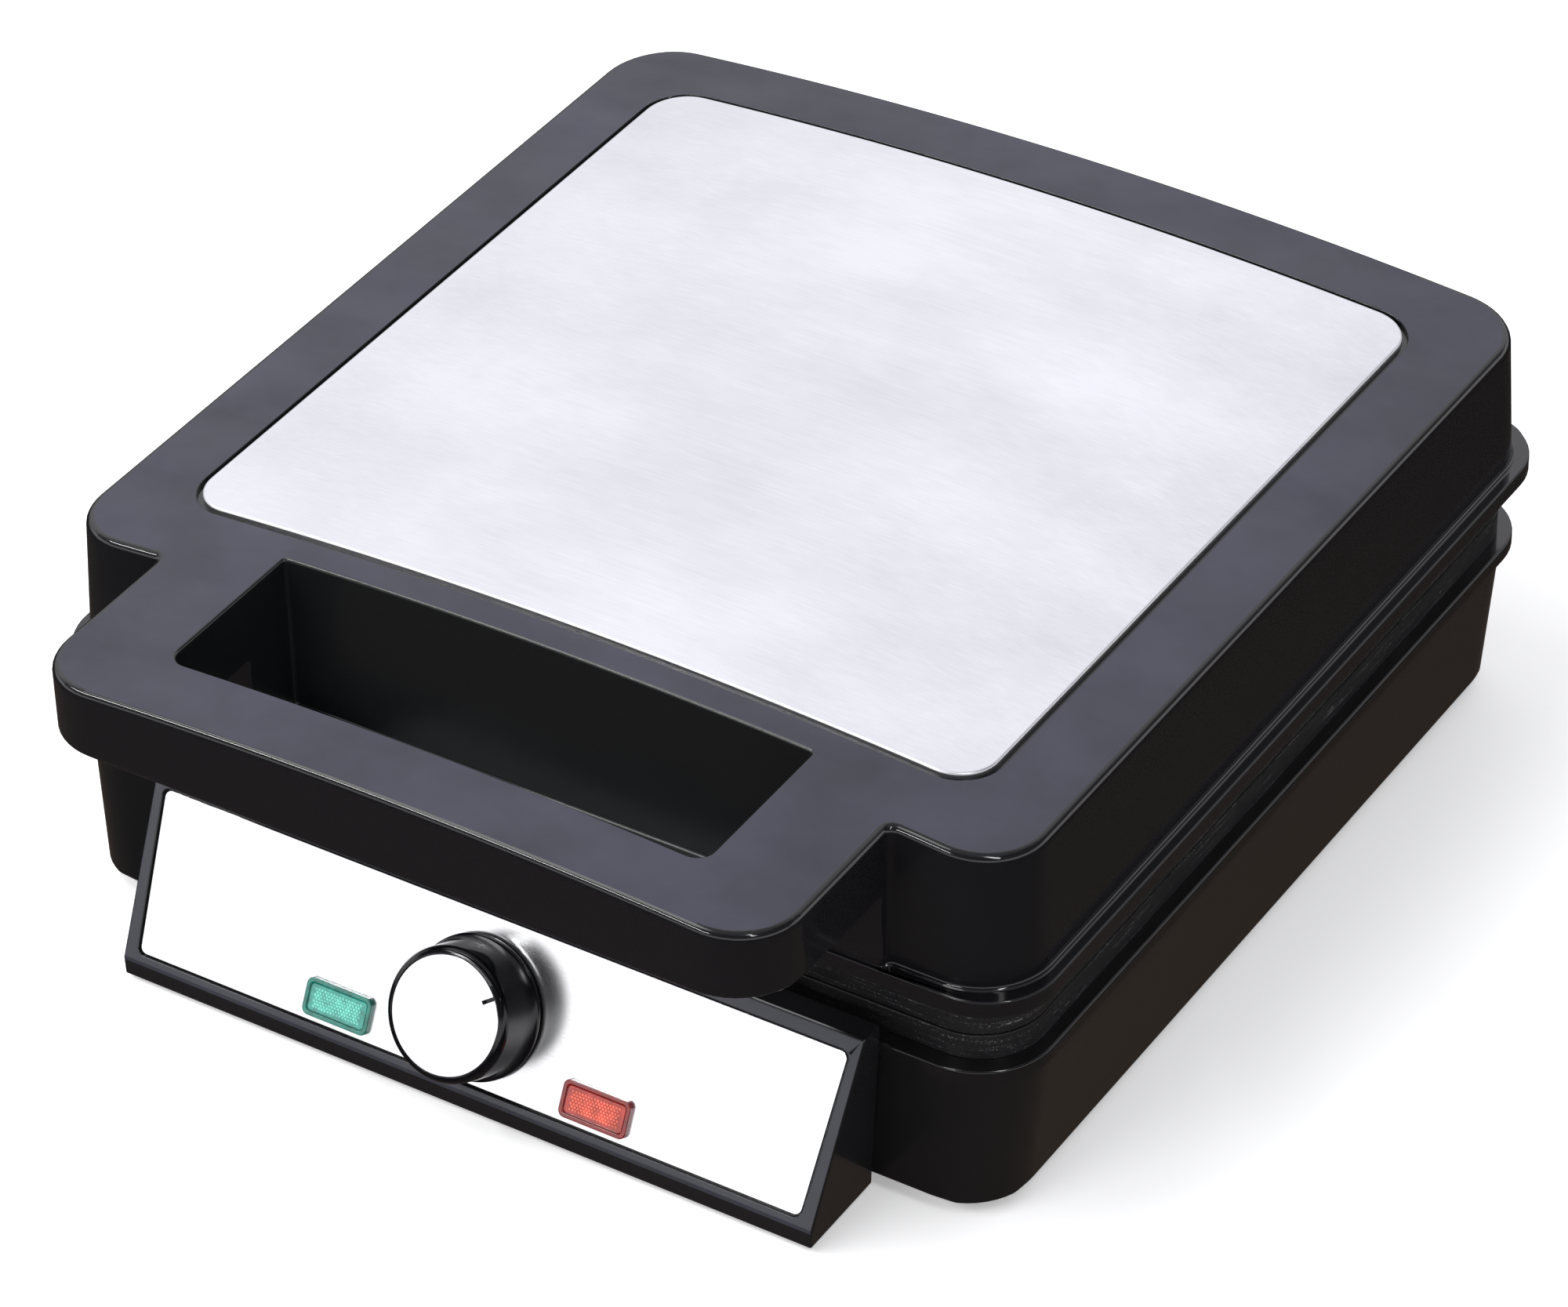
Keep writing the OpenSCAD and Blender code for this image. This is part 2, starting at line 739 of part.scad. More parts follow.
module control_housing() {
    face_t = bezel_depth + 2.2;
    floor_z = housing_z + 2.5;
    roof_z = panel_top_z - 2.5;
    back_y_high = rim_front_y - 0.1;
    back_y_low = wall_foot_y - 0.1;
    color([0.12, 0.12, 0.14])
        difference() {
            intersection() {
                side_prism(120, [
                    [panel_foot_y, housing_z], [panel_foot_y, panel_foot_z], [panel_top_y, panel_top_z],
                    [back_y_high, panel_top_z], [back_y_high, rim_z - rim_h], [back_y_low, base_z],
                    [back_y_low, housing_z]]);
                side_limits(0);
            }
            // Hollow, open towards the base, with a screw post at each end
            difference() {
                intersection() {
                    side_prism(120, [
                        [face_y(floor_z, face_t), floor_z], [face_y(roof_z, face_t), roof_z],
                        [back_y_high + 1, roof_z], [back_y_high + 1, floor_z]]);
                    side_limits(shell_t);
                }
                for (sx = [-1, 1])
                    translate([sx * (post_x + 3), wall_front_y - 10, post_z])
                        cube([14, 22, 9], center = true);
            }
            on_panel() {
                face_plan(0, -bezel_depth, 2);
                pilot(0, knob_up, -8, 2, 5.1);
                for (sx = [-1, 1])
                    translate([sx * lens_x, lens_up, -8])
                        linear_extrude(8)
                            square([lens_w - 3.8, lens_h - 3.8], center = true);
            }
            for (sx = [-1, 1])
                translate([sx * post_x, wall_front_y - 10, post_z])
                    rotate([-90, 0, 0])
                        cylinder(r = 1.3, h = 12, $fn = 48);
        }
}

module housing_screws() {
    color([0.7, 0.7, 0.72])
        for (sx = [-1, 1])
            translate([sx * post_x, front_wall_y(post_z) + shell_t + 1.6, post_z])
                rotate([90, 0, 0])
                    screw_up(2.8, 1.3, 1.25, 9);
}

module control_plate() {
    color([0.88, 0.88, 0.9])
        on_panel()
            difference() {
                face_plan(fascia_gap, -bezel_depth + 0.02, -bezel_depth + 0.02 + fascia_t);
                translate([0, knob_up, -4])
                    cylinder(r = 5.4, h = 8, $fn = 64);
                for (sx = [-1, 1])
                    translate([sx * lens_x, lens_up, -4])
                        linear_extrude(8)
                            polygon(round_rect(lens_w - 1.6, lens_h - 1.6, 1.4, 4));
            }
}

// Snap-in lens with a rim that rests on the fascia
module lens(sx) {
    top_z = -bezel_depth + fascia_t + 0.04;
    on_panel()
        translate([sx * lens_x, lens_up, 0]) {
            translate([0, 0, top_z])
                linear_extrude(1.5)
                    polygon(round_rect(lens_w, lens_h, 2, 5));
            translate([0, 0, -7])
                difference() {
                    linear_extrude(7 + top_z + eps)
                        polygon(round_rect(lens_w - 4.2, lens_h - 4.2, 1, 4));
                    pilot(0, 0, -1, 5.5, 1.9);
                }
        }
}

module green_lens() {
    color([0.1, 0.6, 0.5])
        lens(-1);
}

module red_lens() {
    color([0.75, 0.1, 0.08])
        lens(1);
}

module neon_lamps() {
    color([0.9, 0.6, 0.4])
        on_panel()
            for (sx = [-1, 1])
                translate([sx * lens_x, lens_up, -12]) {
                    cylinder(r = 1.6, h = 8, $fn = 48);
                    translate([0, 0, 8])
                        sphere(r = 1.55, $fn = 32);
                }
}

module thermostat_body() {
    color([0.75, 0.74, 0.7])
        on_panel()
            translate([0, knob_up, 0])
                difference() {
                    union() {
                        translate([-15, -13, -22])
                            cube([30, 26, 17.9]);
                        translate([0, 0, -4.2])
                            cylinder(r = 4.9, h = 5.3, $fn = 64);
                    }
                    translate([0, 0, -14])
                        cylinder(r = shaft_r + 0.05, h = 20, $fn = 64);
                }
}

module thermostat_nut() {
    color([0.75, 0.7, 0.5])
        on_panel()
            translate([0, knob_up, -bezel_depth + fascia_t + 0.05])
                difference() {
                    cylinder(r = 7.2, h = 1.7, $fn = 6);
                    translate([0, 0, -1])
                        cylinder(r = 4.95, h = 4, $fn = 64);
                }
}

module thermostat_shaft() {
    color([0.75, 0.75, 0.76])
        on_panel()
            translate([0, knob_up, -13.5])
                difference() {
                    cylinder(r = shaft_r, h = 24.5, $fn = 64);
                    translate([-4, 1.6, 15])
                        cube([8, 4, 12]);
                }
}

module knob() {
    skirt_r = 20.2;
    face_r = knob_dia / 2;
    cap_r = face_r - 0.5;
    foot = 0.35;
    front = knob_len + foot;
    color([0.05, 0.05, 0.05])
        on_panel()
            translate([0, knob_up, 0])
                difference() {
                    rotate_extrude($fn = 128)
                        polygon([
                            [0, foot + 6], [face_r - 3.2, foot + 6], [face_r - 2.2, foot], [skirt_r, foot],
                            [skirt_r, foot + 0.8], [face_r + 2.3, foot + 3.6], [face_r + 1.9, foot + 7],
                            [face_r + 1.7, front - 2.6], [face_r + 1.3, front - 1.4],
                            [face_r + 0.6, front - 0.5], [face_r - 0.1, front], [cap_r + 0.15, front],
                            [cap_r + 0.15, front - 1.2], [0, front - 1.2]]);
                    translate([0, 0, foot])
                        difference() {
                            cylinder(r = shaft_r, h = 10.7, $fn = 64);
                            translate([-4, 1.6, -1])
                                cube([8, 4, 14]);
                        }
                }
}

module knob_cap() {
    cap_r = knob_dia / 2 - 0.5;
    foot = 0.35;
    color([0.9, 0.9, 0.92])
        on_panel()
            translate([0, knob_up, knob_len + foot - 1.2])
                difference() {
                    cylinder(r = cap_r, h = 1.15, $fn = 96);
                    rotate([0, 0, -pointer_deg])
                        translate([-0.55, cap_r - 4, -1])
                            cube([1.1, 6, 4]);
                }
}

module sensor_bulb() {
    bulb_z = seam_z - 0.1 - cavity_h - skin_t - 2.7;
    color([0.75, 0.5, 0.35])
        union() {
            translate([-12, lid_y - 40, bulb_z])
                rotate([-90, 0, 0])
                    cylinder(r = 2.4, h = 60, $fn = 32);
            translate([-12, lid_y - 39, bulb_z])
                rotate([90, 0, 0])
                    cylinder(r = 0.8, h = 70, $fn = 24);
        }
}

module thermal_fuse() {
    color([0.85, 0.83, 0.8])
        translate([40, lid_y - 20, 0]) {
            translate([0, 0, rim_z - rim_h - 14.7 + 2.6])
                rotate([0, 90, 0])
                    cylinder(r = 2.5, h = 24, $fn = 48);
        }
}

module terminal_block() {
    block_z = base_z + cover_t;
    color([0.92, 0.91, 0.88])
        difference() {
            block([gland_x - 18, lid_y + 78, block_z], [gland_x + 18, lid_y + 98, block_z + 14]);
            for (i = [-1 : 1]) {
                pilot(gland_x + 12 * i, lid_y + 88, block_z + 6, 30, 2.6);
                translate([gland_x + 12 * i, lid_y + 77, block_z + 5])
                    rotate([-90, 0, 0])
                        cylinder(r = 1.7, h = 22, $fn = 48);
            }
        }
}

module terminal_screws() {
    color([0.75, 0.7, 0.45])
        for (i = [-1 : 1])
            pilot(gland_x + 12 * i, lid_y + 88, base_z + cover_t + 7, base_z + cover_t + 13.5, 2.3);
}

module cord_gland() {
    color([0.06, 0.06, 0.06])
        translate([gland_x, wall_back_foot_y, gland_z])
            rotate([-90, 0, 0])
                difference() {
                    union() {
                        translate([0, 0, 1.2])
                            cylinder(r = 9.5, h = 3.3, $fn = 64);
                        translate([0, 0, -6])
                            cylinder(r = 7, h = 8, $fn = 64);
                    }
                    translate([0, 0, -8])
                        cylinder(r = 4, h = 14, $fn = 64);
                }
}

module cord_clamp() {
    clamp_z = base_z + cover_t;
    color([0.9, 0.9, 0.88])
        difference() {
            block([gland_x - 14, lid_y + 112, clamp_z], [gland_x + 14, lid_y + 120, clamp_z + 9]);
            translate([gland_x, lid_y + 111, clamp_z])
                rotate([-90, 0, 0])
                    cylinder(r = 3.6, h = 10, $fn = 48);
            for (sx = [-1, 1])
                pilot(gland_x + sx * 9.5, lid_y + 116, 0, 30, 1.6);
        }
}

module clamp_screws() {
    color([0.7, 0.7, 0.72])
        for (sx = [-1, 1])
            translate([gland_x + sx * 9.5, lid_y + 116, base_z + cover_t + 10.6])
                rotate([180, 0, 0])
                    screw_up(2.8, 1.5, 1.4, 9);
}

// A sleeved lead of straight runs through the given points, each run reaching a little past its ends
module lead(points, r = 1.3) {
    for (i = [0 : len(points) - 2]) {
        step = points[i + 1] - points[i];
        run = norm(step);
        translate(points[i])
            rotate([0, acos(step.z / run), atan2(step.y, step.x)])
                translate([0, 0, i == 0 ? 0 : -r / 2])
                    cylinder(r = r, h = run + (i == 0 ? r / 2 : r), $fn = 12);
    }
}

module lower_leads() {
    block_y = lid_y + 77.5;
    block_z = base_z + cover_t + 5;
    end_z = lower_heat_z - 1.8;
    stat_y = wall_front_y + 6;
    color([0.85, 0.85, 0.83]) {
        lead([[gland_x - 12, block_y, block_z], [gland_x - 12, -50, block_z], [-40, -100, 14],
            [-9, stat_y, 17]]);
        lead([[gland_x, block_y, block_z], [gland_x, -40, block_z], [-terminal_x, terminal_y, 20],
            [-terminal_x, terminal_y, end_z - 1.8]]);
        lead([[9, stat_y, 17], [terminal_x, terminal_y, 20], [terminal_x, terminal_y, end_z - 1.8]]);
        lead([[gland_x + 12, block_y, block_z], [gland_x + 12, 80, block_z], [-50, 70, 27.6]]);
    }
}

module upper_leads() {
    top_z = upper_back_z + 20;
    start_z = upper_heat_z + 1.8;
    color([0.85, 0.85, 0.83])
        for (sx = [-1, 1])
            lead([[sx * terminal_x, terminal_y, start_z], [sx * terminal_x, terminal_y, top_z],
                [sx * terminal_x, lid_y + 60, top_z], [52 + 5 * sx, lid_y + 125, top_z],
                [52 + 5 * sx, lid_y + 138, 80]]);
}

base_shell();
bottom_cover();
cover_screws();
rubber_feet();
control_housing();
housing_screws();
control_plate();
green_lens();
red_lens();
neon_lamps();
thermostat_body();
thermostat_nut();
thermostat_shaft();
knob();
knob_cap();
sensor_bulb();
lower_waffle_plate();
lower_plate_screws();
lower_element();
lower_reflector();
thermal_fuse();
terminal_block();
terminal_screws();
cord_gland();
cord_clamp();
clamp_screws();
lower_leads();
hinge_pins();
lid_shell();
top_plate();
handle_cover();
handle_screws();
upper_waffle_plate();
upper_plate_screws();
upper_element();
upper_reflector();
upper_leads();
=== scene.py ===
"""Waffle maker: visible pieces, materials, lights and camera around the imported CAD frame."""

import math

import bmesh
import bpy
from mathutils import Matrix, Vector


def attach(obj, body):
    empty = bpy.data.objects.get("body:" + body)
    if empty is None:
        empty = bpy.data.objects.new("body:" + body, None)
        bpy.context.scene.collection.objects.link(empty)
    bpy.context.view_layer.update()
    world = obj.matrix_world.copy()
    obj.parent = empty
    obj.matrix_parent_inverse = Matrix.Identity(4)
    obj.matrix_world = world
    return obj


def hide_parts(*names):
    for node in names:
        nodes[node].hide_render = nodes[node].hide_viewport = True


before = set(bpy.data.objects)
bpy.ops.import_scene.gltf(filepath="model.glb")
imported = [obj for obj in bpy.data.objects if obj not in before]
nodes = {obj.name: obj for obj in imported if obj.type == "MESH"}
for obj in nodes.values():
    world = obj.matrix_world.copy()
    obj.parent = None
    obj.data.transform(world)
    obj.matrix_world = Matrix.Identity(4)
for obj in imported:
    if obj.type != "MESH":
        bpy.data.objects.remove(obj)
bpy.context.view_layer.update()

MM = 0.001

# Lid, in millimetres in the frame of the CAD model
LID_Y = 23.0
LID_W = 300.0
LID_D = 292.5
LID_R = 20.0
CROWN_Z = 124.0
CROWN_DROP = 7.7
CROWN_RADIUS = (LID_W**2 / 4 + CROWN_DROP**2) / (2 * CROWN_DROP)
FLANGE_Z = 70.3
FLANGE_TOP = 75.5
FLANGE_OUT = 5.5
WALL_SPREAD = 1.5
SHELL_T = 2.8
SEAT_DEPTH = 1.3
FLANGE_R = LID_R + 1

# Handle
FRONT_Y = -184.5
HANDLE_W = 230.0
HANDLE_R = 20.0
HANDLE_Z = 99.6
FINGER_W = 167.0
FINGER_FRONT = -161.7
FINGER_BACK = -109.2
LEG_Y = -127.6
LEG_DEPTH = 12.0
LEG_TOP = CROWN_Z - 8
LEDGE_Z = 72.8
COVER_T = 2.4
NICHE_R = 5.0

# Edge widths of the lid
TOP_FILLET = 2.2
LEG_FILLET = 2.0
NICHE_CORNER_FILLET = 1.2
NICHE_FILLET = 1.1
LEDGE_FILLET = 0.8
SEAT_FILLET = 0.4
WALL_FOOT_FILLET = 1.4
FLANGE_FILLET = 0.6
FLANGE_LEG_FILLET = 0.3
FLANGE_FOOT_FILLET = 0.35
HANDLE_FOOT_FILLET = 1.0
CHANNEL_FILLET = 0.5

# Steel plate in the lid
PLATE_W = 250.1
PLATE_D = 243.6
PLATE_R = 12.3
PLATE_Y = LID_Y + 0.6
PLATE_PROUD = 0.7
PLATE_SUNK = 1.25
PLATE_GAP = 1.6
PLATE_FILLET = 0.75

# Cast waffle plates
GRID_W = 298.0
GRID_D = 290.5
GRID_R = 19.0
LOWER_FACE_Z = 57.7
UPPER_FACE_Z = 57.95
LOWER_RIM_H = 7.9
UPPER_RIM_H = 12.25
CAVITY_H = 11.8
CAVITY_DRAFT = 0.9
CAVITY_PLAY = 0.4
PEG_H = 8.0
PEG_FOOT = 13.6
PEG_TAPER = 0.76
PEGS = 6
BORDER = 19.0
WEB = 14.0
CORE_IN = 16.0
SKIN_T = 3.0
CORE_R = 8.0
SCREW_X = 138.5
SCREW_DY = 134.5
SCREW_R = 2.1
SINK_R = 4.5
SINK_DEPTH = 2.2
CAST_FILLET = 0.8
SINK_FILLET = 0.25
CAST_FOOT_FILLET = 0.3

# Base
BASE_Z = 5.0
RIM_Z = 49.8
RIM_H = 4.4
RIM_W = 306.0
RIM_R = 22.0
RIM_FRONT = LID_Y - 150.3
RIM_BACK = LID_Y + 149.3
WALL_FRONT = LID_Y - 149.8
WALL_FRONT_FOOT = LID_Y - 152.0
WALL_BACK_TOP = LID_Y + 141.0
WALL_BACK_FOOT = LID_Y + 139.5
WALL_TOP_W = 304.4
WALL_FOOT_W = 298.2
WALL_R = 20.0
WALL_IN_R = 17.0
WINDOW_X = 100.0
WINDOW_LOW = 12.0
WINDOW_HIGH = 40.0
GLAND_X = -96.0
GLAND_Z = 22.0
GLAND_R = 7.1
RIM_FILLET = 0.9
RIM_FOOT_FILLET = 0.3
BASE_FOOT_FILLET = 1.2

# Control panel
LEAN = 27.0
PANEL_Y = LID_Y - 182.3
PANEL_Z = 7.4
HOUSING_Z = 1.5
PANEL_H = 54.3
PANEL_FOOT_W = 222.5
PANEL_TOP_W = 227.5
PANEL_WALL = 2.5
PANEL_FRONT_T = 3.7
BEZEL_W = 3.8
BEZEL_LOW = 2.2
BEZEL_HIGH = 4.4
BEZEL_R = 2.6
BEZEL_DEPTH = 1.5
PANEL_FILLET = 0.8
PANEL_SIDE_FILLET = 0.6
RECESS_FILLET = 0.35
FASCIA_GAP = 0.5
FASCIA_T = 0.8
FASCIA_FILLET = 0.2
KNOB_UP = 24.0
KNOB_DIA = 34.0
KNOB_LEN = 16.0
KNOB_FOOT = 0.35
SKIRT_R = 20.2
SHAFT_R = 3.02
DISC_SUNK = 1.2
POINTER_DEG = 55.0
LENS_X = 41.7
LENS_UP = 9.7
LENS_W = 21.2
LENS_H = 10.7
LENS_T = 1.5
LENS_RIM = 1.3
LENS_WELL = 0.55
LENS_FILLET = 0.35
CELL_PITCH = 0.98
CELL_H = 0.28
CELL_TAPER = 0.62

# Hinge
PIVOT_Y = 178.5
PIVOT_Z = 57.8
EYE_R = 6.0
BORE_R = 2.55
HINGE_X = 72.7
LUG_W = 11.0
EAR_W = 5.0
EAR_OFF = 8.5
EAR_LOW = RIM_Z - RIM_H - 14

# Sizes used in picking edges and faces
LEVEL = 0.05
SHARP_EDGE = 20.0
SLICE = 6.0
SLICES = 26
CROWN_FROM = 105.0


# ------------------------------------------------------------------ outlines and solids, in mm

def arc(cx, cy, r, start, turn=90.0, n=12):
    """Points round a centre, from a start angle in degrees."""
    steps = [math.radians(start + turn * i / n) for i in range(n + 1)]
    return [(cx + r * math.cos(a), cy + r * math.sin(a)) for a in steps]


def rounded(w, d, r, y=0.0, n=12):
    """A rectangle with round corners, anticlockwise, centred on x = 0 and the given y."""
    x, dy = w / 2 - r, d / 2 - r
    return (
        arc(x, y + dy, r, 0, n=n)
        + arc(-x, y + dy, r, 90, n=n)
        + arc(-x, y - dy, r, 180, n=n)
        + arc(x, y - dy, r, 270, n=n)
    )


def unit_circle(n):
    return arc(0, 0, 1, 0, 360.0 * (n - 1) / n, n - 1)


def at(outline, z):
    return [(x, y, z) for x, y in outline]


def near(a, b, tolerance=LEVEL):
    return abs(a - b) < tolerance


def ends(edge):
    """An edge's two ends and its middle."""
    a, b = edge.verts[0].co, edge.verts[1].co
    return a, b, (a + b) / 2


def mesh_object(name, bm):
    """Turns a bmesh into an object in the scene."""
    mesh = bpy.data.meshes.new(name)
    bm.to_mesh(mesh)
    bm.free()
    obj = bpy.data.objects.new(name, mesh)
    bpy.context.scene.collection.objects.link(obj)
    return obj


def solid(name, rings):
    """A closed solid through rings that all have the same number of points."""
    bm = bmesh.new()
    loops = [[bm.verts.new(p) for p in ring] for ring in rings]
    count = len(rings[0])
    for low, high in zip(loops, loops[1:]):
        for i in range(count):
            j = (i + 1) % count
            bm.faces.new((low[i], low[j], high[j], high[i]))
    bm.faces.new(tuple(reversed(loops[0])))
    bm.faces.new(tuple(loops[-1]))
    bmesh.ops.recalc_face_normals(bm, faces=bm.faces)
    return mesh_object(name, bm)


def prism(name, outline, z0, z1):
    return solid(name, [at(outline, z0), at(outline, z1)])


def block(name, low, high):
    (x0, y0, z0), (x1, y1, z1) = low, high
    return prism(name, [(x0, y0), (x1, y0), (x1, y1), (x0, y1)], z0, z1)


def rod(name, centre, axis, r, length, n=64, r2=None):
    """A round bar or cone from centre along an axis."""
    r2 = r if r2 is None else r2
    circle = unit_circle(n)
    near_end = [(r * x, r * y, 0.0) for x, y in circle]
    far_end = [(r2 * x, r2 * y, length) for x, y in circle]
    obj = solid(name, [near_end, far_end])
    turn = Vector((0, 0, 1)).rotation_difference(Vector(axis)).to_matrix().to_4x4()
    obj.data.transform(Matrix.Translation(centre) @ turn)
    return obj


def bake(obj):
    """Applies an object's modifiers to its mesh."""
    graph = bpy.context.evaluated_depsgraph_get()
    mesh = bpy.data.meshes.new_from_object(obj.evaluated_get(graph))
    old = obj.data
    obj.modifiers.clear()
    obj.data = mesh
    bpy.data.meshes.remove(old)


def discard(obj):
    mesh = obj.data
    bpy.data.objects.remove(obj)
    bpy.data.meshes.remove(mesh)


def combine(target, operation, *tools):
    """Adds, cuts or keeps what each tool covers."""
    for tool in tools:
        mod = target.modifiers.new("combine", "BOOLEAN")
        mod.operation = operation
        mod.solver = "EXACT"
        mod.object = tool
        bake(target)
        discard(tool)
    return target


def cut(target, *tools):
    return combine(target, "DIFFERENCE", *tools)


def add(target, *tools):
    return combine(target, "UNION", *tools)


def tidy(obj):
    """Joins coplanar faces and drops points that lie on straight edges."""
    bm = bmesh.new()
    bm.from_mesh(obj.data)
    bmesh.ops.remove_doubles(bm, verts=bm.verts, dist=0.002)
    bmesh.ops.dissolve_limit(bm, angle_limit=math.radians(0.3), verts=bm.verts, edges=bm.edges)
    bm.to_mesh(obj.data)
    bm.free()


def split_at(bm, x):
    geometry = list(bm.verts) + list(bm.edges) + list(bm.faces)
    bmesh.ops.bisect_plane(bm, geom=geometry, dist=1e-4, plane_co=(x, 0, 0), plane_no=(1, 0, 0))


def divide(bm, stations):
    """Splits faces at stations across the width, and drops the other seams in level faces."""
    for x in stations:
        split_at(bm, x)
    seams = []
    for edge in bm.edges:
        a, b = edge.verts[0].co, edge.verts[1].co
        wanted = any(max(abs(a.x - x), abs(b.x - x)) < 0.01 for x in stations)
        if wanted or len(edge.link_faces) != 2 or edge.link_faces[0] == edge.link_faces[1]:
            continue
        if edge.calc_face_angle(0.0) < 0.005:
            seams.append(edge)
    bmesh.ops.dissolve_edges(bm, edges=seams, use_verts=False)


def soften(obj, width_of, widest, segments=4, stations=()):
    """Rounds each edge by the width that width_of(edge) gives, in millimetres."""
    tidy(obj)
    bm = bmesh.new()
    bm.from_mesh(obj.data)
    if stations:
        divide(bm, stations)
    layers = bm.edges.layers.float
    weight = layers.get("bevel_weight_edge") or layers.new("bevel_weight_edge")
    for edge in bm.edges:
        edge[weight] = 0.0
        if len(edge.link_faces) == 2 and edge.calc_face_angle(0.0) > math.radians(SHARP_EDGE):
            edge[weight] = min(1.0, width_of(edge) / widest)
    bm.to_mesh(obj.data)
    bm.free()
    mod = obj.modifiers.new("soften", "BEVEL")
    mod.limit_method = "WEIGHT"
    mod.width = widest
    mod.segments = segments
    mod.use_clamp_overlap = False
    mod.face_strength_mode = "FSTR_ALL"
    bake(obj)


def slice_x(obj):
    """Cuts an object's faces at regular stations across its width, so that they can be crowned."""
    bm = bmesh.new()
    bm.from_mesh(obj.data)
    bmesh.ops.triangulate(bm, faces=[f for f in bm.faces if len(f.verts) > 4])
    for i in range(-SLICES, SLICES + 1):
        split_at(bm, i * SLICE)
    bm.to_mesh(obj.data)
    bm.free()


def crown_drop(x):
    """How far the crown, a cylinder along Y, is below its ridge."""
    return CROWN_RADIUS - math.sqrt(CROWN_RADIUS**2 - x**2)


def crown(obj):
    """Bends everything high in the lid to its crown."""
    for v in obj.data.vertices:
        if v.co.z > CROWN_FROM:
            v.co.z -= crown_drop(v.co.x)


def lathe(name, profile, n=128):
    """A turned solid about Z from (radius, height) points that start and end on the axis."""
    bm = bmesh.new()
    rings = []
    for r, z in profile:
        if r < 1e-6:
            rings.append([bm.verts.new((0, 0, z))])
        else:
            rings.append([bm.verts.new((r * x, r * y, z)) for x, y in unit_circle(n)])
    for low, high in zip(rings, rings[1:]):
        for i in range(n):
            j = (i + 1) % n
            if len(low) == 1:
                bm.faces.new((low[0], high[j], high[i]))
            elif len(high) == 1:
                bm.faces.new((low[i], low[j], high[0]))
            else:
                bm.faces.new((low[i], low[j], high[j], high[i]))
    bmesh.ops.recalc_face_normals(bm, faces=bm.faces)
    return mesh_object(name, bm)


def paint(obj, materials, index_of=None):
    """Gives an object its materials and picks one for each face."""
    obj.data.materials.clear()
    for m in materials:
        obj.data.materials.append(m)
    for face in obj.data.polygons:
        face.material_index = index_of(face) if index_of else 0


def true_normals(obj, crown_slot=None):
    """Gives level faces, and those in the crown's material slot, their surface's exact normals."""
    bake(obj)
    mesh = obj.data
    normals = [corner.vector.copy() for corner in mesh.corner_normals]
    for face in mesh.polygons:
        crowned = face.material_index == crown_slot and face.normal.z > 0.98
        if not crowned and abs(face.normal.z) < 0.9999:
            continue
        for i in face.loop_indices:
            normals[i] = face.normal.copy()
            if crowned:
                lean = mesh.vertices[mesh.loops[i].vertex_index].co.x / (CROWN_RADIUS * MM)
                normals[i] = Vector((lean, 0, math.sqrt(1 - lean**2)))
    mesh.normals_split_custom_set(normals)


def publish(obj, body, slot, *replaced, sharp=38.0, flat_over=None, crown_slot=None):
    """Scales a finished piece to metres, shades it and puts it on its body in place of CAD nodes.

    Faces larger than flat_over square millimetres stay flat.
    """
    obj.data.shade_smooth()
    for face in obj.data.polygons:
        face.use_smooth = flat_over is None or face.area < flat_over
    obj.data.transform(Matrix.Scale(MM, 4))
    obj.data.set_sharp_from_angle(angle=math.radians(sharp))
    mod = obj.modifiers.new("even_normals", "WEIGHTED_NORMAL")
    mod.keep_sharp = True
    mod.use_face_influence = True
    mod.weight = 80
    true_normals(obj, crown_slot)
    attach(obj, body)
    if replaced:
        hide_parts(*replaced)
    return obj


def panel_matrix(up=0.0, x=0.0, out=0.0):
    """Places something on the control panel: X across, Y up the face, Z outwards."""
    turn = Matrix.Rotation(math.radians(90 - LEAN), 4, "X")
    return Matrix.Translation((0, PANEL_Y, PANEL_Z)) @ turn @ Matrix.Translation((x, up, out))


# ------------------------------------------------------------------ materials

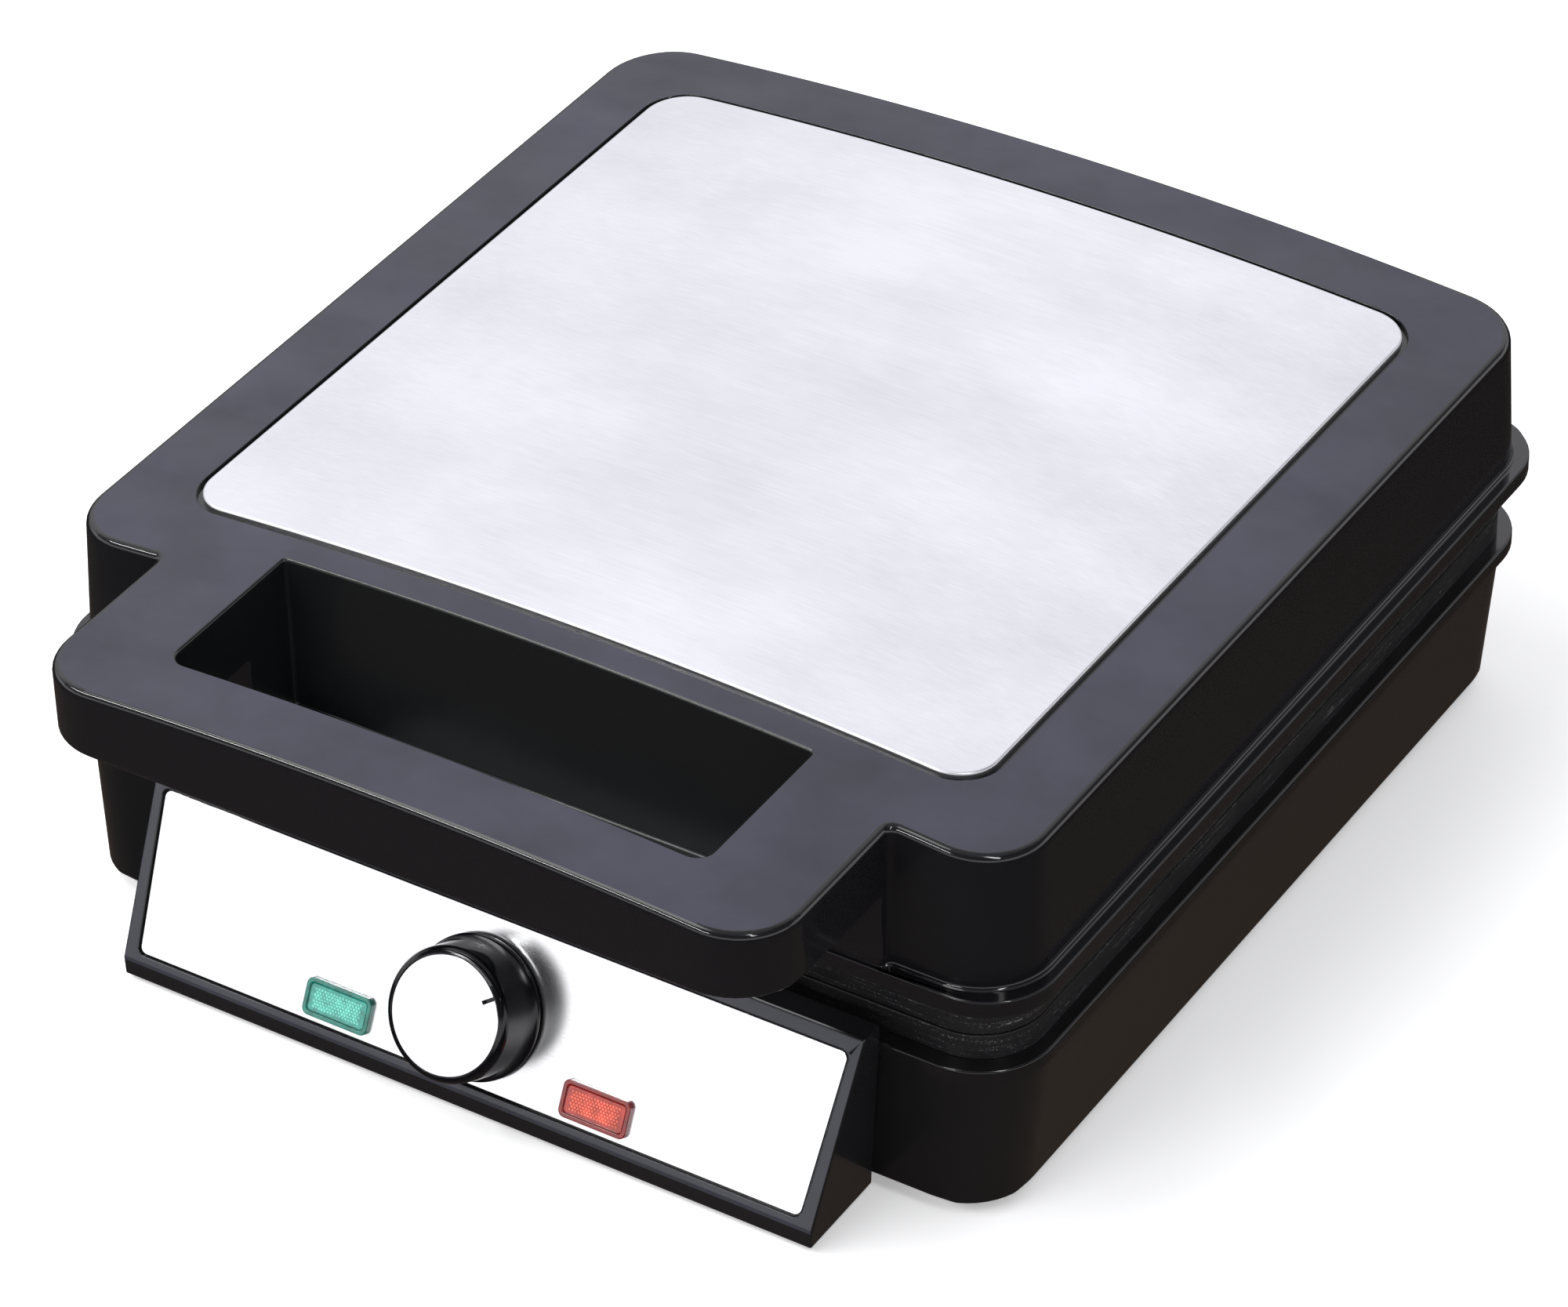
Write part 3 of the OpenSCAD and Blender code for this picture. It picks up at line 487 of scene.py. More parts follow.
class Recipe:
    """A node material under construction. Object coordinates are in metres."""

    def __init__(self, name, colour, rough, metal=0.0, specular=0.5):
        self.material = bpy.data.materials.new(name)
        self.material.use_nodes = True
        self.tree = self.material.node_tree
        self.bsdf = self.tree.nodes["Principled BSDF"]
        self.bsdf.inputs["Base Color"].default_value = (*colour, 1.0)
        self.bsdf.inputs["Roughness"].default_value = rough
        self.bsdf.inputs["Metallic"].default_value = metal
        self.bsdf.inputs["Specular IOR Level"].default_value = specular
        self.place = self.tree.nodes.new("ShaderNodeTexCoord").outputs["Object"]
        self.normal = None

    def node(self, kind, **values):
        made = self.tree.nodes.new(kind)
        for key, value in values.items():
            if key in made.inputs:
                made.inputs[key].default_value = value
            else:
                setattr(made, key, value)
        return made

    def link(self, source, target):
        self.tree.links.new(source, target)

    def noise(self, scale, detail=3.0, stretch=(1, 1, 1), roughness=0.5):
        """Smooth noise from 0 to 1, with its grain stretched by axis."""
        mapping = self.node("ShaderNodeMapping", Scale=stretch)
        self.link(self.place, mapping.inputs["Vector"])
        made = self.node("ShaderNodeTexNoise", Scale=scale, Detail=detail, Roughness=roughness)
        self.link(mapping.outputs["Vector"], made.inputs["Vector"])
        return made.outputs["Fac"]

    def spread(self, value, low, high, start=0.3, end=0.7):
        """Maps a noise value to a range."""
        made = self.node("ShaderNodeMapRange")
        made.inputs["From Min"].default_value = start
        made.inputs["From Max"].default_value = end
        made.inputs["To Min"].default_value = low
        made.inputs["To Max"].default_value = high
        self.link(value, made.inputs["Value"])
        return made.outputs["Result"]

    def blend(self, value, colour_a, colour_b):
        made = self.node("ShaderNodeMix", data_type="RGBA")
        colour_in = [s for s in made.inputs if s.type == "RGBA"]
        colour_in[0].default_value = (*colour_a, 1.0)
        colour_in[1].default_value = (*colour_b, 1.0)
        self.link(value, made.inputs["Factor"])
        return [s for s in made.outputs if s.type == "RGBA"][0]

    def arithmetic(self, operation, a, b):
        made = self.node("ShaderNodeMath", operation=operation)
        self.link(a, made.inputs[0])
        self.link(b, made.inputs[1])
        return made.outputs[0]

    def times(self, a, b):
        return self.arithmetic("MULTIPLY", a, b)

    def plus(self, a, b):
        return self.arithmetic("ADD", a, b)

    def colour(self, value):
        self.link(value, self.bsdf.inputs["Base Color"])

    def rough(self, value):
        self.link(value, self.bsdf.inputs["Roughness"])

    def bump(self, value, height, strength=1.0):
        """Adds relief, with its height in metres."""
        made = self.node("ShaderNodeBump", Strength=strength, Distance=height)
        self.link(value, made.inputs["Height"])
        if self.normal is not None:
            self.link(self.normal, made.inputs["Normal"])
        self.normal = made.outputs["Normal"]
        self.link(self.normal, self.bsdf.inputs["Normal"])


def satin_plastic(name, low, high, rough_low, rough_high):
    """Finely textured moulding with faint handling marks."""
    r = Recipe(name, low, rough_low, specular=0.5)
    cloud = r.noise(28, 4, roughness=0.6)
    r.colour(r.blend(r.spread(cloud, 0, 1), low, high))
    smear = r.noise(16, 5, stretch=(1, 2.4, 1), roughness=0.65)
    r.rough(r.spread(smear, rough_low, rough_high))
    r.bump(r.noise(2600, 2), 0.000012, 0.5)
    return r.material


def gloss_plastic(name, colour, rough=0.07, specular=0.5):
    """Polished black moulding with a slight ripple and faint wipe marks."""
    r = Recipe(name, colour, rough, specular=specular)
    smear = r.noise(22, 5, stretch=(1, 1, 2), roughness=0.6)
    r.rough(r.spread(smear, rough, rough + 0.07))
    r.bump(r.noise(45, 2), 0.00003, 0.35)
    return r.material


def brushed_steel(name, low, high, rough_low, rough_high, along="x", marks=True):
    """Steel sheet with fine brush lines, soft clouds and a few light scratches."""
    r = Recipe(name, low, rough_low, metal=1.0)
    fine = {"x": (1, 60, 60), "y": (60, 1, 60), "z": (60, 60, 1)}[along]
    lines = r.noise(45, 3, stretch=fine, roughness=0.6)
    cloud = r.noise(11, 5, stretch=(1, 1.5, 1), roughness=0.62)
    mixed = r.plus(r.times(lines, lines), r.spread(cloud, 0, 0.75))
    r.colour(r.blend(r.spread(mixed, 0, 1, 0.15, 0.95), low, high))
    r.rough(r.spread(r.plus(cloud, r.spread(lines, 0, 0.25)), rough_high, rough_low, 0.35, 0.95))
    r.bump(lines, 0.000006, 0.6)
    if marks:
        scratch = r.noise(30, 2, stretch=(0.6, 26, 1), roughness=0.3)
        r.bump(r.spread(scratch, 0, 1, 0.72, 0.76), 0.000015, 0.5)
    return r.material


def cast_coating(name):
    """Dark non-stick coating over a casting, with bright specks in horizontal streaks of painted
    sheen.
    """
    r = Recipe(name, (0.012, 0.012, 0.013), 0.4, specular=0.5)
    grain = r.noise(1700, 3, roughness=0.7)
    # The horizontal streaks are painted sheen that stands in for brushed highlights along the
    # plates' edges; the coating's specks show mostly inside them.
    sheen_streak = r.noise(90, 4, stretch=(0.5, 0.5, 16), roughness=0.7)
    specks_and_sheen = r.spread(r.times(grain, sheen_streak), 0, 1, 0.31, 0.48)
    r.colour(r.blend(specks_and_sheen, (0.009, 0.009, 0.010), (0.16, 0.16, 0.165)))
    r.rough(r.spread(r.noise(60, 4), 0.3, 0.5))
    r.bump(grain, 0.00003, 0.5)
    return r.material


def plain_metal(name, colour, rough, scale=300):
    """Plated or bare metal with a slightly uneven surface."""
    r = Recipe(name, colour, rough, metal=1.0)
    dull = tuple(c * 0.72 for c in colour)
    r.colour(r.blend(r.spread(r.noise(scale, 4), 0, 1), dull, colour))
    r.rough(r.spread(r.noise(scale * 0.6, 3), rough, rough + 0.15))
    r.bump(r.noise(scale * 6, 2), 0.00001, 0.4)
    return r.material


def matt(name, colour, rough, grain=1500, depth=0.00004, specular=0.4):
    """Moulded or woven matt surface with an even fine grain."""
    r = Recipe(name, colour, rough, specular=specular)
    pale = tuple(min(1.0, c * 1.25 + 0.004) for c in colour)
    r.colour(r.blend(r.spread(r.noise(90, 4), 0, 1), colour, pale))
    r.rough(r.spread(r.noise(200, 3), rough - 0.06, rough + 0.06))
    r.bump(r.noise(grain, 2), depth, 0.6)
    return r.material


def tinted_lens(name, colour, rough=0.08, painted_glow=0.0):
    """Clear tinted moulding over a pale backing."""
    r = Recipe(name, colour, rough, specular=0.6)
    deep = tuple(c * 0.55 for c in colour)
    r.colour(r.blend(r.spread(r.noise(400, 2), 0, 1), deep, colour))
    r.bump(r.noise(220, 2), 0.00002, 0.3)
    r.bsdf.inputs["Coat Weight"].default_value = 0.5
    r.bsdf.inputs["Coat Roughness"].default_value = 0.04
    # Painted glow: the moulding emits light of its own tint, though no lamp behind it is lit.
    if painted_glow:
        r.bsdf.inputs["Emission Color"].default_value = (*colour, 1.0)
        r.bsdf.inputs["Emission Strength"].default_value = painted_glow
    return r.material


LID_SATIN = satin_plastic(
    "lid_satin_top", (0.011, 0.011, 0.024), (0.029, 0.029, 0.052), 0.28, 0.46)
LID_GLOSS = gloss_plastic("lid_gloss_wall", (0.006, 0.006, 0.007), 0.07)
NICHE = gloss_plastic("finger_niche", (0.006, 0.007, 0.008), 0.18, 0.5)
BASE_GLOSS = gloss_plastic("base_gloss", (0.006, 0.006, 0.0065), 0.08)
BEZEL = satin_plastic(
    "panel_bezel", (0.026, 0.027, 0.036), (0.038, 0.039, 0.05), 0.26, 0.36)
PANEL_SIDE = gloss_plastic("panel_side", (0.008, 0.008, 0.009), 0.10)
TOP_STEEL = brushed_steel("top_steel", (0.66, 0.66, 0.685), (0.76, 0.76, 0.79), 0.30, 0.46)
FASCIA = brushed_steel(
    "fascia_steel", (0.86, 0.86, 0.88), (0.93, 0.93, 0.95), 0.20, 0.28, marks=False)
CAP = brushed_steel(
    "cap_steel", (0.88, 0.88, 0.90), (0.95, 0.95, 0.97), 0.22, 0.30, marks=False)
CAST = cast_coating("cast_coating")
KNOB = gloss_plastic("knob_gloss", (0.003, 0.003, 0.004), 0.05, 0.35)
COVER = matt("cover_grey", (0.022, 0.022, 0.024), 0.55)
RUBBER = matt("rubber_black", (0.018, 0.018, 0.018), 0.8, 900, 0.00008, 0.25)
ZINC = plain_metal("zinc_plate", (0.62, 0.62, 0.64), 0.28)
BRASS = plain_metal("brass_part", (0.75, 0.55, 0.24), 0.3)
COPPER = plain_metal("copper_bulb", (0.72, 0.38, 0.24), 0.3)
SHEATH = plain_metal("element_sheath", (0.16, 0.145, 0.14), 0.5)
TRAY = plain_metal("tray_sheet", (0.72, 0.72, 0.73), 0.3, 120)
CERAMIC = matt("ceramic_white", (0.78, 0.76, 0.71), 0.5)
SLEEVE = matt("lead_sleeve", (0.74, 0.73, 0.69), 0.75, 4000, 0.0001)
LAMP = matt("lamp_glass", (0.85, 0.62, 0.42), 0.2)
# Each lens's honeycomb cells get a lighter tint and a faint painted glow.
GREEN_RIM = tinted_lens("lens_green_rim", (0.006, 0.20, 0.15))
GREEN_FIELD = tinted_lens("lens_green_field", (0.05, 0.42, 0.34), 0.2)
GREEN_CELLS = tinted_lens("lens_green_cells", (0.22, 0.72, 0.60), 0.25, 0.12)
RED_RIM = tinted_lens("lens_red_rim", (0.22, 0.006, 0.004))
RED_FIELD = tinted_lens("lens_red_field", (0.50, 0.035, 0.022), 0.2)
RED_CELLS = tinted_lens("lens_red_cells", (0.88, 0.17, 0.11), 0.25, 0.12)


# ------------------------------------------------------------------ lid

def lid_out(z):
    """How far the lid's wall stands outside its top outline at a height."""
    return WALL_SPREAD * (CROWN_Z - z) / (CROWN_Z - FLANGE_TOP)


def lid_ring(z, grow=0.0):
    out = lid_out(z) + grow
    return at(rounded(LID_W + 2 * out, LID_D + 2 * out, LID_R, LID_Y), z)


def handle_plan(inset, back, back_inset=0.0):
    x, r = HANDLE_W / 2, HANDLE_R
    front = arc(-x + r, FRONT_Y + r, r - inset, 180) + arc(x - r, FRONT_Y + r, r - inset, 270)
    return [(x - inset, back - back_inset), (-x + inset, back - back_inset)] + front


def make_lid():
    half = HANDLE_W / 2
    finger = FINGER_W / 2
    arm_y = LID_Y + 148
    lid = solid("lid_casing", [lid_ring(FLANGE_Z), lid_ring(CROWN_Z)])
    flange = rounded(LID_W + 2 * FLANGE_OUT, LID_D + 2 * FLANGE_OUT, FLANGE_R, LID_Y)
    add(
        lid,
        prism("flange", flange, FLANGE_Z, FLANGE_TOP),
        prism("handle", handle_plan(0, LEG_Y + LEG_DEPTH), HANDLE_Z, CROWN_Z),
        block("legs", (-half, LEG_Y, FLANGE_Z), (half, LEG_Y + LEG_DEPTH, LEG_TOP)),
    )
    low, high = lid_ring(FLANGE_Z - 2, -SHELL_T), lid_ring(CROWN_Z - SHELL_T, -SHELL_T)
    inside = solid("inside", [low, high])
    wall_x, wall_y = finger + SHELL_T, FINGER_BACK + SHELL_T
    cut(inside, block("round_niche", (-wall_x, -200, 60), (wall_x, wall_y, 130)))
    niche = [(finger, FINGER_BACK), (-finger, FINGER_BACK)]
    niche += arc(-finger + NICHE_R, FINGER_FRONT + NICHE_R, NICHE_R, 180, n=6)
    niche += arc(finger - NICHE_R, FINGER_FRONT + NICHE_R, NICHE_R, 270, n=6)
    inner_x, inner_y = finger + SHELL_T, FINGER_FRONT - SHELL_T
    back = LEG_Y - SHELL_T
    channel = [(inner_x, back), (inner_x, inner_y), (-inner_x, inner_y), (-inner_x, back)]
    channel += handle_plan(SHELL_T, back)[1:] + [(half - SHELL_T, back)]
    gap = PLATE_GAP
    seat = rounded(PLATE_W + 2 * gap, PLATE_D + 2 * gap, PLATE_R + gap, PLATE_Y)
    cut(
        lid,
        inside,
        prism("niche", niche, LEDGE_Z, CROWN_Z + 5),
        prism("channel", channel, HANDLE_Z - 1, HANDLE_Z + COVER_T),
        prism("seat", seat, CROWN_Z - SEAT_DEPTH, CROWN_Z + 3),
    )
    for side in (-1, 1):
        x = side * HINGE_X
        x0, x1 = x - LUG_W / 2, x + LUG_W / 2
        top = FLANGE_TOP - 0.2
        add(
            lid,
            rod("eye", (x0, PIVOT_Y, PIVOT_Z), (1, 0, 0), EYE_R, LUG_W),
            block("lug", (x0, PIVOT_Y - 3.5, PIVOT_Z), (x1, PIVOT_Y + 5, top)),
            block("arm", (x0, arm_y, FLANGE_Z + 0.2), (x1, PIVOT_Y, top)),
        )
        cut(lid, rod("bore", (x - LUG_W, PIVOT_Y, PIVOT_Z), (1, 0, 0), BORE_R, 2 * LUG_W))
    tidy(lid)

    def upright_corner(edge):
        a, b, middle = ends(edge)
        if abs(a.z - b.z) < 5 or abs(a.x - b.x) > 0.6:
            return 0.0
        on_leg = near(abs(middle.x), half, 0.6) and middle.y > LEG_Y - 0.9
        if on_leg and middle.z > FLANGE_TOP:
            return LEG_FILLET
        if near(abs(middle.x), finger, 0.1) and near(middle.y, FINGER_BACK, 0.1):
            return NICHE_CORNER_FILLET
        return 0.0

    soften(lid, upright_corner, LEG_FILLET, 3, stations=(0.0,))

    def in_finger(p, margin):
        return abs(p.x) < finger + margin and FINGER_FRONT - margin < p.y < FINGER_BACK + margin

    def on_flange_edge(a):
        """Whether a point is on the flange's outer edge, along its sides or round its corners."""
        x, y = abs(a.x), abs(a.y - LID_Y)
        outer = max(x / (LID_W / 2 + FLANGE_OUT), y / (LID_D / 2 + FLANGE_OUT))
        corner_x, corner_y = LID_W / 2 + FLANGE_OUT - FLANGE_R, LID_D / 2 + FLANGE_OUT - FLANGE_R
        from_corner = math.hypot(max(0, x - corner_x), max(0, y - corner_y))
        return outer > 0.997 or from_corner > FLANGE_R - 0.5

    def edge_width(edge):
        a, b, middle = ends(edge)
        if middle.y > arm_y - 0.5 and near(abs(middle.x), HINGE_X, LUG_W):
            return 0.0
        if near(middle.z, LEDGE_Z) and in_finger(middle, 0.5):
            return LEDGE_FILLET
        if not near(a.z, b.z):
            return 0.0
        if middle.z > CROWN_Z - 0.1:
            if in_finger(middle, 0.5):
                return NICHE_FILLET
            seat_x, seat_y = PLATE_W / 2 + 3, PLATE_D / 2 + 3
            at_seat = abs(middle.x) < seat_x and near(middle.y, PLATE_Y, seat_y)
            return SEAT_FILLET if at_seat else TOP_FILLET
        if near(middle.z, FLANGE_TOP) and middle.y < arm_y:
            if on_flange_edge(a):
                return FLANGE_FILLET
            at_leg = abs(middle.x) < half + 0.3 and middle.y < LEG_Y + 4.5
            return FLANGE_LEG_FILLET if at_leg else WALL_FOOT_FILLET
        if near(middle.z, HANDLE_Z):
            outer = near(abs(middle.x), half, 0.2) or middle.y < FINGER_FRONT - 12
            return HANDLE_FOOT_FILLET if outer else CHANNEL_FILLET
        return FLANGE_FOOT_FILLET if near(middle.z, FLANGE_Z) else 0.0

    soften(lid, edge_width, TOP_FILLET, 5, stations=(0.0,))
    slice_x(lid)
    crown(lid)

    def surface(face):
        c = face.center
        if face.normal.z > 0.985 and c.z + crown_drop(c.x) > CROWN_Z - 0.3:
            return 1
        return 2 if in_finger(c, 0.3) and c.z > LEDGE_Z - 0.8 else 0

    paint(lid, [LID_GLOSS, LID_SATIN, NICHE], surface)
    return publish(lid, "lid", "lid_satin", "lid_shell", crown_slot=1)


def make_top_plate():
    outline = rounded(PLATE_W, PLATE_D, PLATE_R, PLATE_Y)
    plate = prism("top_plate_sheet", outline, CROWN_Z - PLATE_SUNK, CROWN_Z + PLATE_PROUD)

    def edge_width(edge):
        return PLATE_FILLET if min(v.co.z for v in edge.verts) > CROWN_Z else 0.0

    soften(plate, edge_width, PLATE_FILLET, 4)
    slice_x(plate)
    crown(plate)
    paint(plate, [TOP_STEEL])
    return publish(plate, "lid", "top_steel", "top_plate", crown_slot=0)


# ------------------------------------------------------------------ waffle plates

def cavity_cutter(centre_x, centre_y, width, depth):
    """One waffle's batter space, with a tapered dent for every peg. The plate's face is z = 0."""
    bm = bmesh.new()
    xs = [centre_x + width * (i / PEGS - 0.5) for i in range(PEGS + 1)]
    ys = [centre_y + depth * (j / PEGS - 0.5) for j in range(PEGS + 1)]
    grid = [[bm.verts.new((x, y, -CAVITY_H)) for y in ys] for x in xs]
    cells = []
    for i in range(PEGS):
        for j in range(PEGS):
            corners = grid[i][j], grid[i][j + 1], grid[i + 1][j + 1], grid[i + 1][j]
            cells.append(bm.faces.new(corners))
    border = (width / PEGS - PEG_FOOT) / 2
    bmesh.ops.inset_individual(bm, faces=cells, thickness=border)
    for face in cells:
        centre = face.calc_center_median()
        made = bmesh.ops.extrude_face_region(bm, geom=[face])
        tops = [v for v in made["geom"] if isinstance(v, bmesh.types.BMVert)]
        bmesh.ops.delete(bm, geom=[face], context="FACES_ONLY")
        for v in tops:
            v.co.x = centre.x + (v.co.x - centre.x) * PEG_TAPER
            v.co.y = centre.y + (v.co.y - centre.y) * PEG_TAPER
            v.co.z += PEG_H
    rim = [e for e in bm.edges if len(e.link_faces) == 1]
    made = bmesh.ops.extrude_edge_only(bm, edges=rim)
    lifted = [v for v in made["geom"] if isinstance(v, bmesh.types.BMVert)]
    for v in lifted:
        v.co.z = 1.0
        v.co.x += math.copysign(CAVITY_DRAFT, v.co.x - centre_x)
        v.co.y += math.copysign(CAVITY_DRAFT, v.co.y - centre_y)
    bmesh.ops.holes_fill(bm, edges=[e for e in bm.edges if len(e.link_faces) == 1])
    bmesh.ops.recalc_face_normals(bm, faces=bm.faces)
    return mesh_object("cavity", bm)


def make_waffle_plate(name, rim_h):
    """A cast plate whose face is z = 0 and looks up."""
    cell_w = (GRID_W - 2 * BORDER - WEB) / 2
    cell_d = (GRID_D - 2 * BORDER - WEB) / 2
    middle_x, middle_y = (cell_w + WEB) / 2, (cell_d + WEB) / 2
    plate = prism(name, rounded(GRID_W, GRID_D, GRID_R, LID_Y, 16), -rim_h, 0)
    core = rounded(GRID_W - 2 * CORE_IN, GRID_D - 2 * CORE_IN, CORE_R, LID_Y)
    add(plate, prism("core", core, -CAVITY_H - SKIN_T, -1))
    for sx in (-1, 1):
        for sy in (-1, 1):
            x, y = sx * middle_x, LID_Y + sy * middle_y
            screw_x, screw_y = sx * SCREW_X, LID_Y + sy * SCREW_DY
            hole, sink = (screw_x, screw_y, -rim_h - 1), (screw_x, screw_y, -SINK_DEPTH)
            cut(
                plate,
                cavity_cutter(x, y, cell_w - CAVITY_PLAY, cell_d - CAVITY_PLAY),
                rod("hole", hole, (0, 0, 1), SCREW_R, rim_h + 2, 32),
                rod("sink", sink, (0, 0, 1), SCREW_R, SINK_DEPTH + 0.3, 32, SINK_R),
            )

    def edge_width(edge):
        a, b, middle = ends(edge)
        if a.z > -LEVEL and b.z > -LEVEL:
            from_screw = math.hypot(abs(a.x) - SCREW_X, abs(a.y - LID_Y) - SCREW_DY)
            return SINK_FILLET if from_screw < SINK_R + 1 else CAST_FILLET
        within_x = abs(middle.x) < GRID_W / 2 - BORDER + 0.8
        within_y = near(middle.y, LID_Y, GRID_D / 2 - BORDER + 0.8)
        if within_x and within_y and middle.z > -CAVITY_H - 0.1:
            return CAST_FILLET
        return CAST_FOOT_FILLET if near(middle.z, -rim_h) and near(a.z, b.z) else 0.0

    past_screws = SCREW_X + 0.63
    stations = (-past_screws, -middle_x, middle_x, past_screws)
    soften(plate, edge_width, CAST_FILLET, 2, stations)
    paint(plate, [CAST])
    return plate


def make_waffle_plates():
    lower = make_waffle_plate("lower_grid", LOWER_RIM_H)
    lower.data.transform(Matrix.Translation((0, 0, LOWER_FACE_Z)))
    publish(lower, "base", "cast_coated", "lower_waffle_plate")
    upper = make_waffle_plate("upper_grid", UPPER_RIM_H)
    turn = Matrix.Translation((0, 2 * LID_Y, UPPER_FACE_Z)) @ Matrix.Rotation(math.pi, 4, "X")
    upper.data.transform(turn)
    publish(upper, "lid", "cast_coated", "upper_waffle_plate")


# ------------------------------------------------------------------ base

def span(w, y0, y1, r, z):
    return at(rounded(w, y1 - y0, r, (y0 + y1) / 2), z)


def make_base():
    rim_low = RIM_Z - RIM_H
    base = solid("base_casing", [
        span(WALL_FOOT_W, WALL_FRONT_FOOT, WALL_BACK_FOOT, WALL_R, BASE_Z),
        span(WALL_TOP_W, WALL_FRONT, WALL_BACK_TOP, WALL_R, rim_low),
    ])
    rim = rounded(RIM_W, RIM_BACK - RIM_FRONT, RIM_R, (RIM_FRONT + RIM_BACK) / 2)
    add(base, prism("rim", rim, rim_low, RIM_Z))
    t, two_t = SHELL_T, 2 * SHELL_T
    inside = solid("inside", [
        span(WALL_FOOT_W - two_t, WALL_FRONT_FOOT + t, WALL_BACK_FOOT - t, WALL_IN_R, BASE_Z - 1),
        span(WALL_TOP_W - two_t, WALL_FRONT + t, WALL_BACK_TOP - t, WALL_IN_R, rim_low),
    ])
    ledge = rounded(GRID_W - 25, GRID_D - 25, 10, LID_Y)
    window_low = (-WINDOW_X, WALL_FRONT_FOOT - 1, WINDOW_LOW)
    window_high = (WINDOW_X, WALL_FRONT + t + 1, WINDOW_HIGH)
    cut(
        base,
        inside,
        prism("ledge", ledge, rim_low - 1, RIM_Z + 1),
        block("window", window_low, window_high),
        rod("inlet", (GLAND_X, WALL_BACK_FOOT - 6, GLAND_Z), (0, 1, 0), GLAND_R, 12),
    )
    for side in (-1, 1):
        for ear in (-1, 1):
            x0 = side * HINGE_X + ear * EAR_OFF - EAR_W / 2
            x1 = x0 + EAR_W
            add(
                base,
                block("bracket", (x0, WALL_BACK_FOOT - 2, EAR_LOW), (x1, PIVOT_Y, RIM_Z - 0.2)),
                block("ear", (x0, PIVOT_Y - 5.9, EAR_LOW), (x1, PIVOT_Y + 5.5, PIVOT_Z)),
                rod("eye", (x0, PIVOT_Y, PIVOT_Z), (1, 0, 0), EYE_R, EAR_W),
            )

    def edge_width(edge):
        a, b, middle = ends(edge)
        if middle.y > WALL_BACK_FOOT and near(abs(middle.x), HINGE_X, EAR_OFF + EAR_W):
            return 0.0
        if not near(a.z, b.z):
            return 0.0
        if near(middle.z, RIM_Z):
            inner_x = abs(middle.x) < GRID_W / 2 - 12
            inner = inner_x and near(middle.y, LID_Y, GRID_D / 2 - 12)
            return 0.0 if inner else RIM_FILLET
        past_front, past_back = (RIM_FRONT - middle.y) / 5 + 1, (middle.y - RIM_BACK) / 5 + 1
        outer = max(abs(middle.x) / (RIM_W / 2), past_front, past_back)
        if near(middle.z, rim_low) and outer > 0.99:
            return RIM_FOOT_FILLET
        far_x = abs(middle.x) > WALL_FOOT_W / 2 - 1
        far_y = middle.y < WALL_FRONT_FOOT + 1 or middle.y > WALL_BACK_FOOT - 1
        return BASE_FOOT_FILLET if near(middle.z, BASE_Z) and (far_x or far_y) else 0.0

    soften(base, edge_width, BASE_FOOT_FILLET, 3, stations=(0.0,))
    paint(base, [BASE_GLOSS])
    return publish(base, "base", "gloss_black", "base_shell")


def panel_half(z, inset=0.0):
    return (PANEL_FOOT_W + (PANEL_TOP_W - PANEL_FOOT_W) * z / 60) / 2 - inset


def panel_back(z, inset):
    lean = math.radians(LEAN)
    return PANEL_Y + inset / math.cos(lean) + (z - PANEL_Z) * math.tan(lean)


def wedge(name, outline, inset):
    """A side outline of (y, z) points carried across the panel's width."""
    left = [(-panel_half(z, inset), y, z) for y, z in outline]
    right = [(panel_half(z, inset), y, z) for y, z in outline]
    return solid(name, [left, right])


def face_outline(gap):
    """The steel fascia's seat on the panel, or less than it by a gap all round."""
    low = PANEL_FOOT_W / 2 - BEZEL_W - gap
    high = PANEL_TOP_W / 2 - BEZEL_W - gap
    y0, y1, r = BEZEL_LOW + gap, PANEL_H - BEZEL_HIGH - gap, BEZEL_R - gap
    return (
        arc(high - r, y1 - r, r, 0, n=8)
        + arc(-high + r, y1 - r, r, 90, n=8)
        + arc(-low + r, y0 + r, r, 180, n=8)
        + arc(low - r, y0 + r, r, 270, n=8)
    )


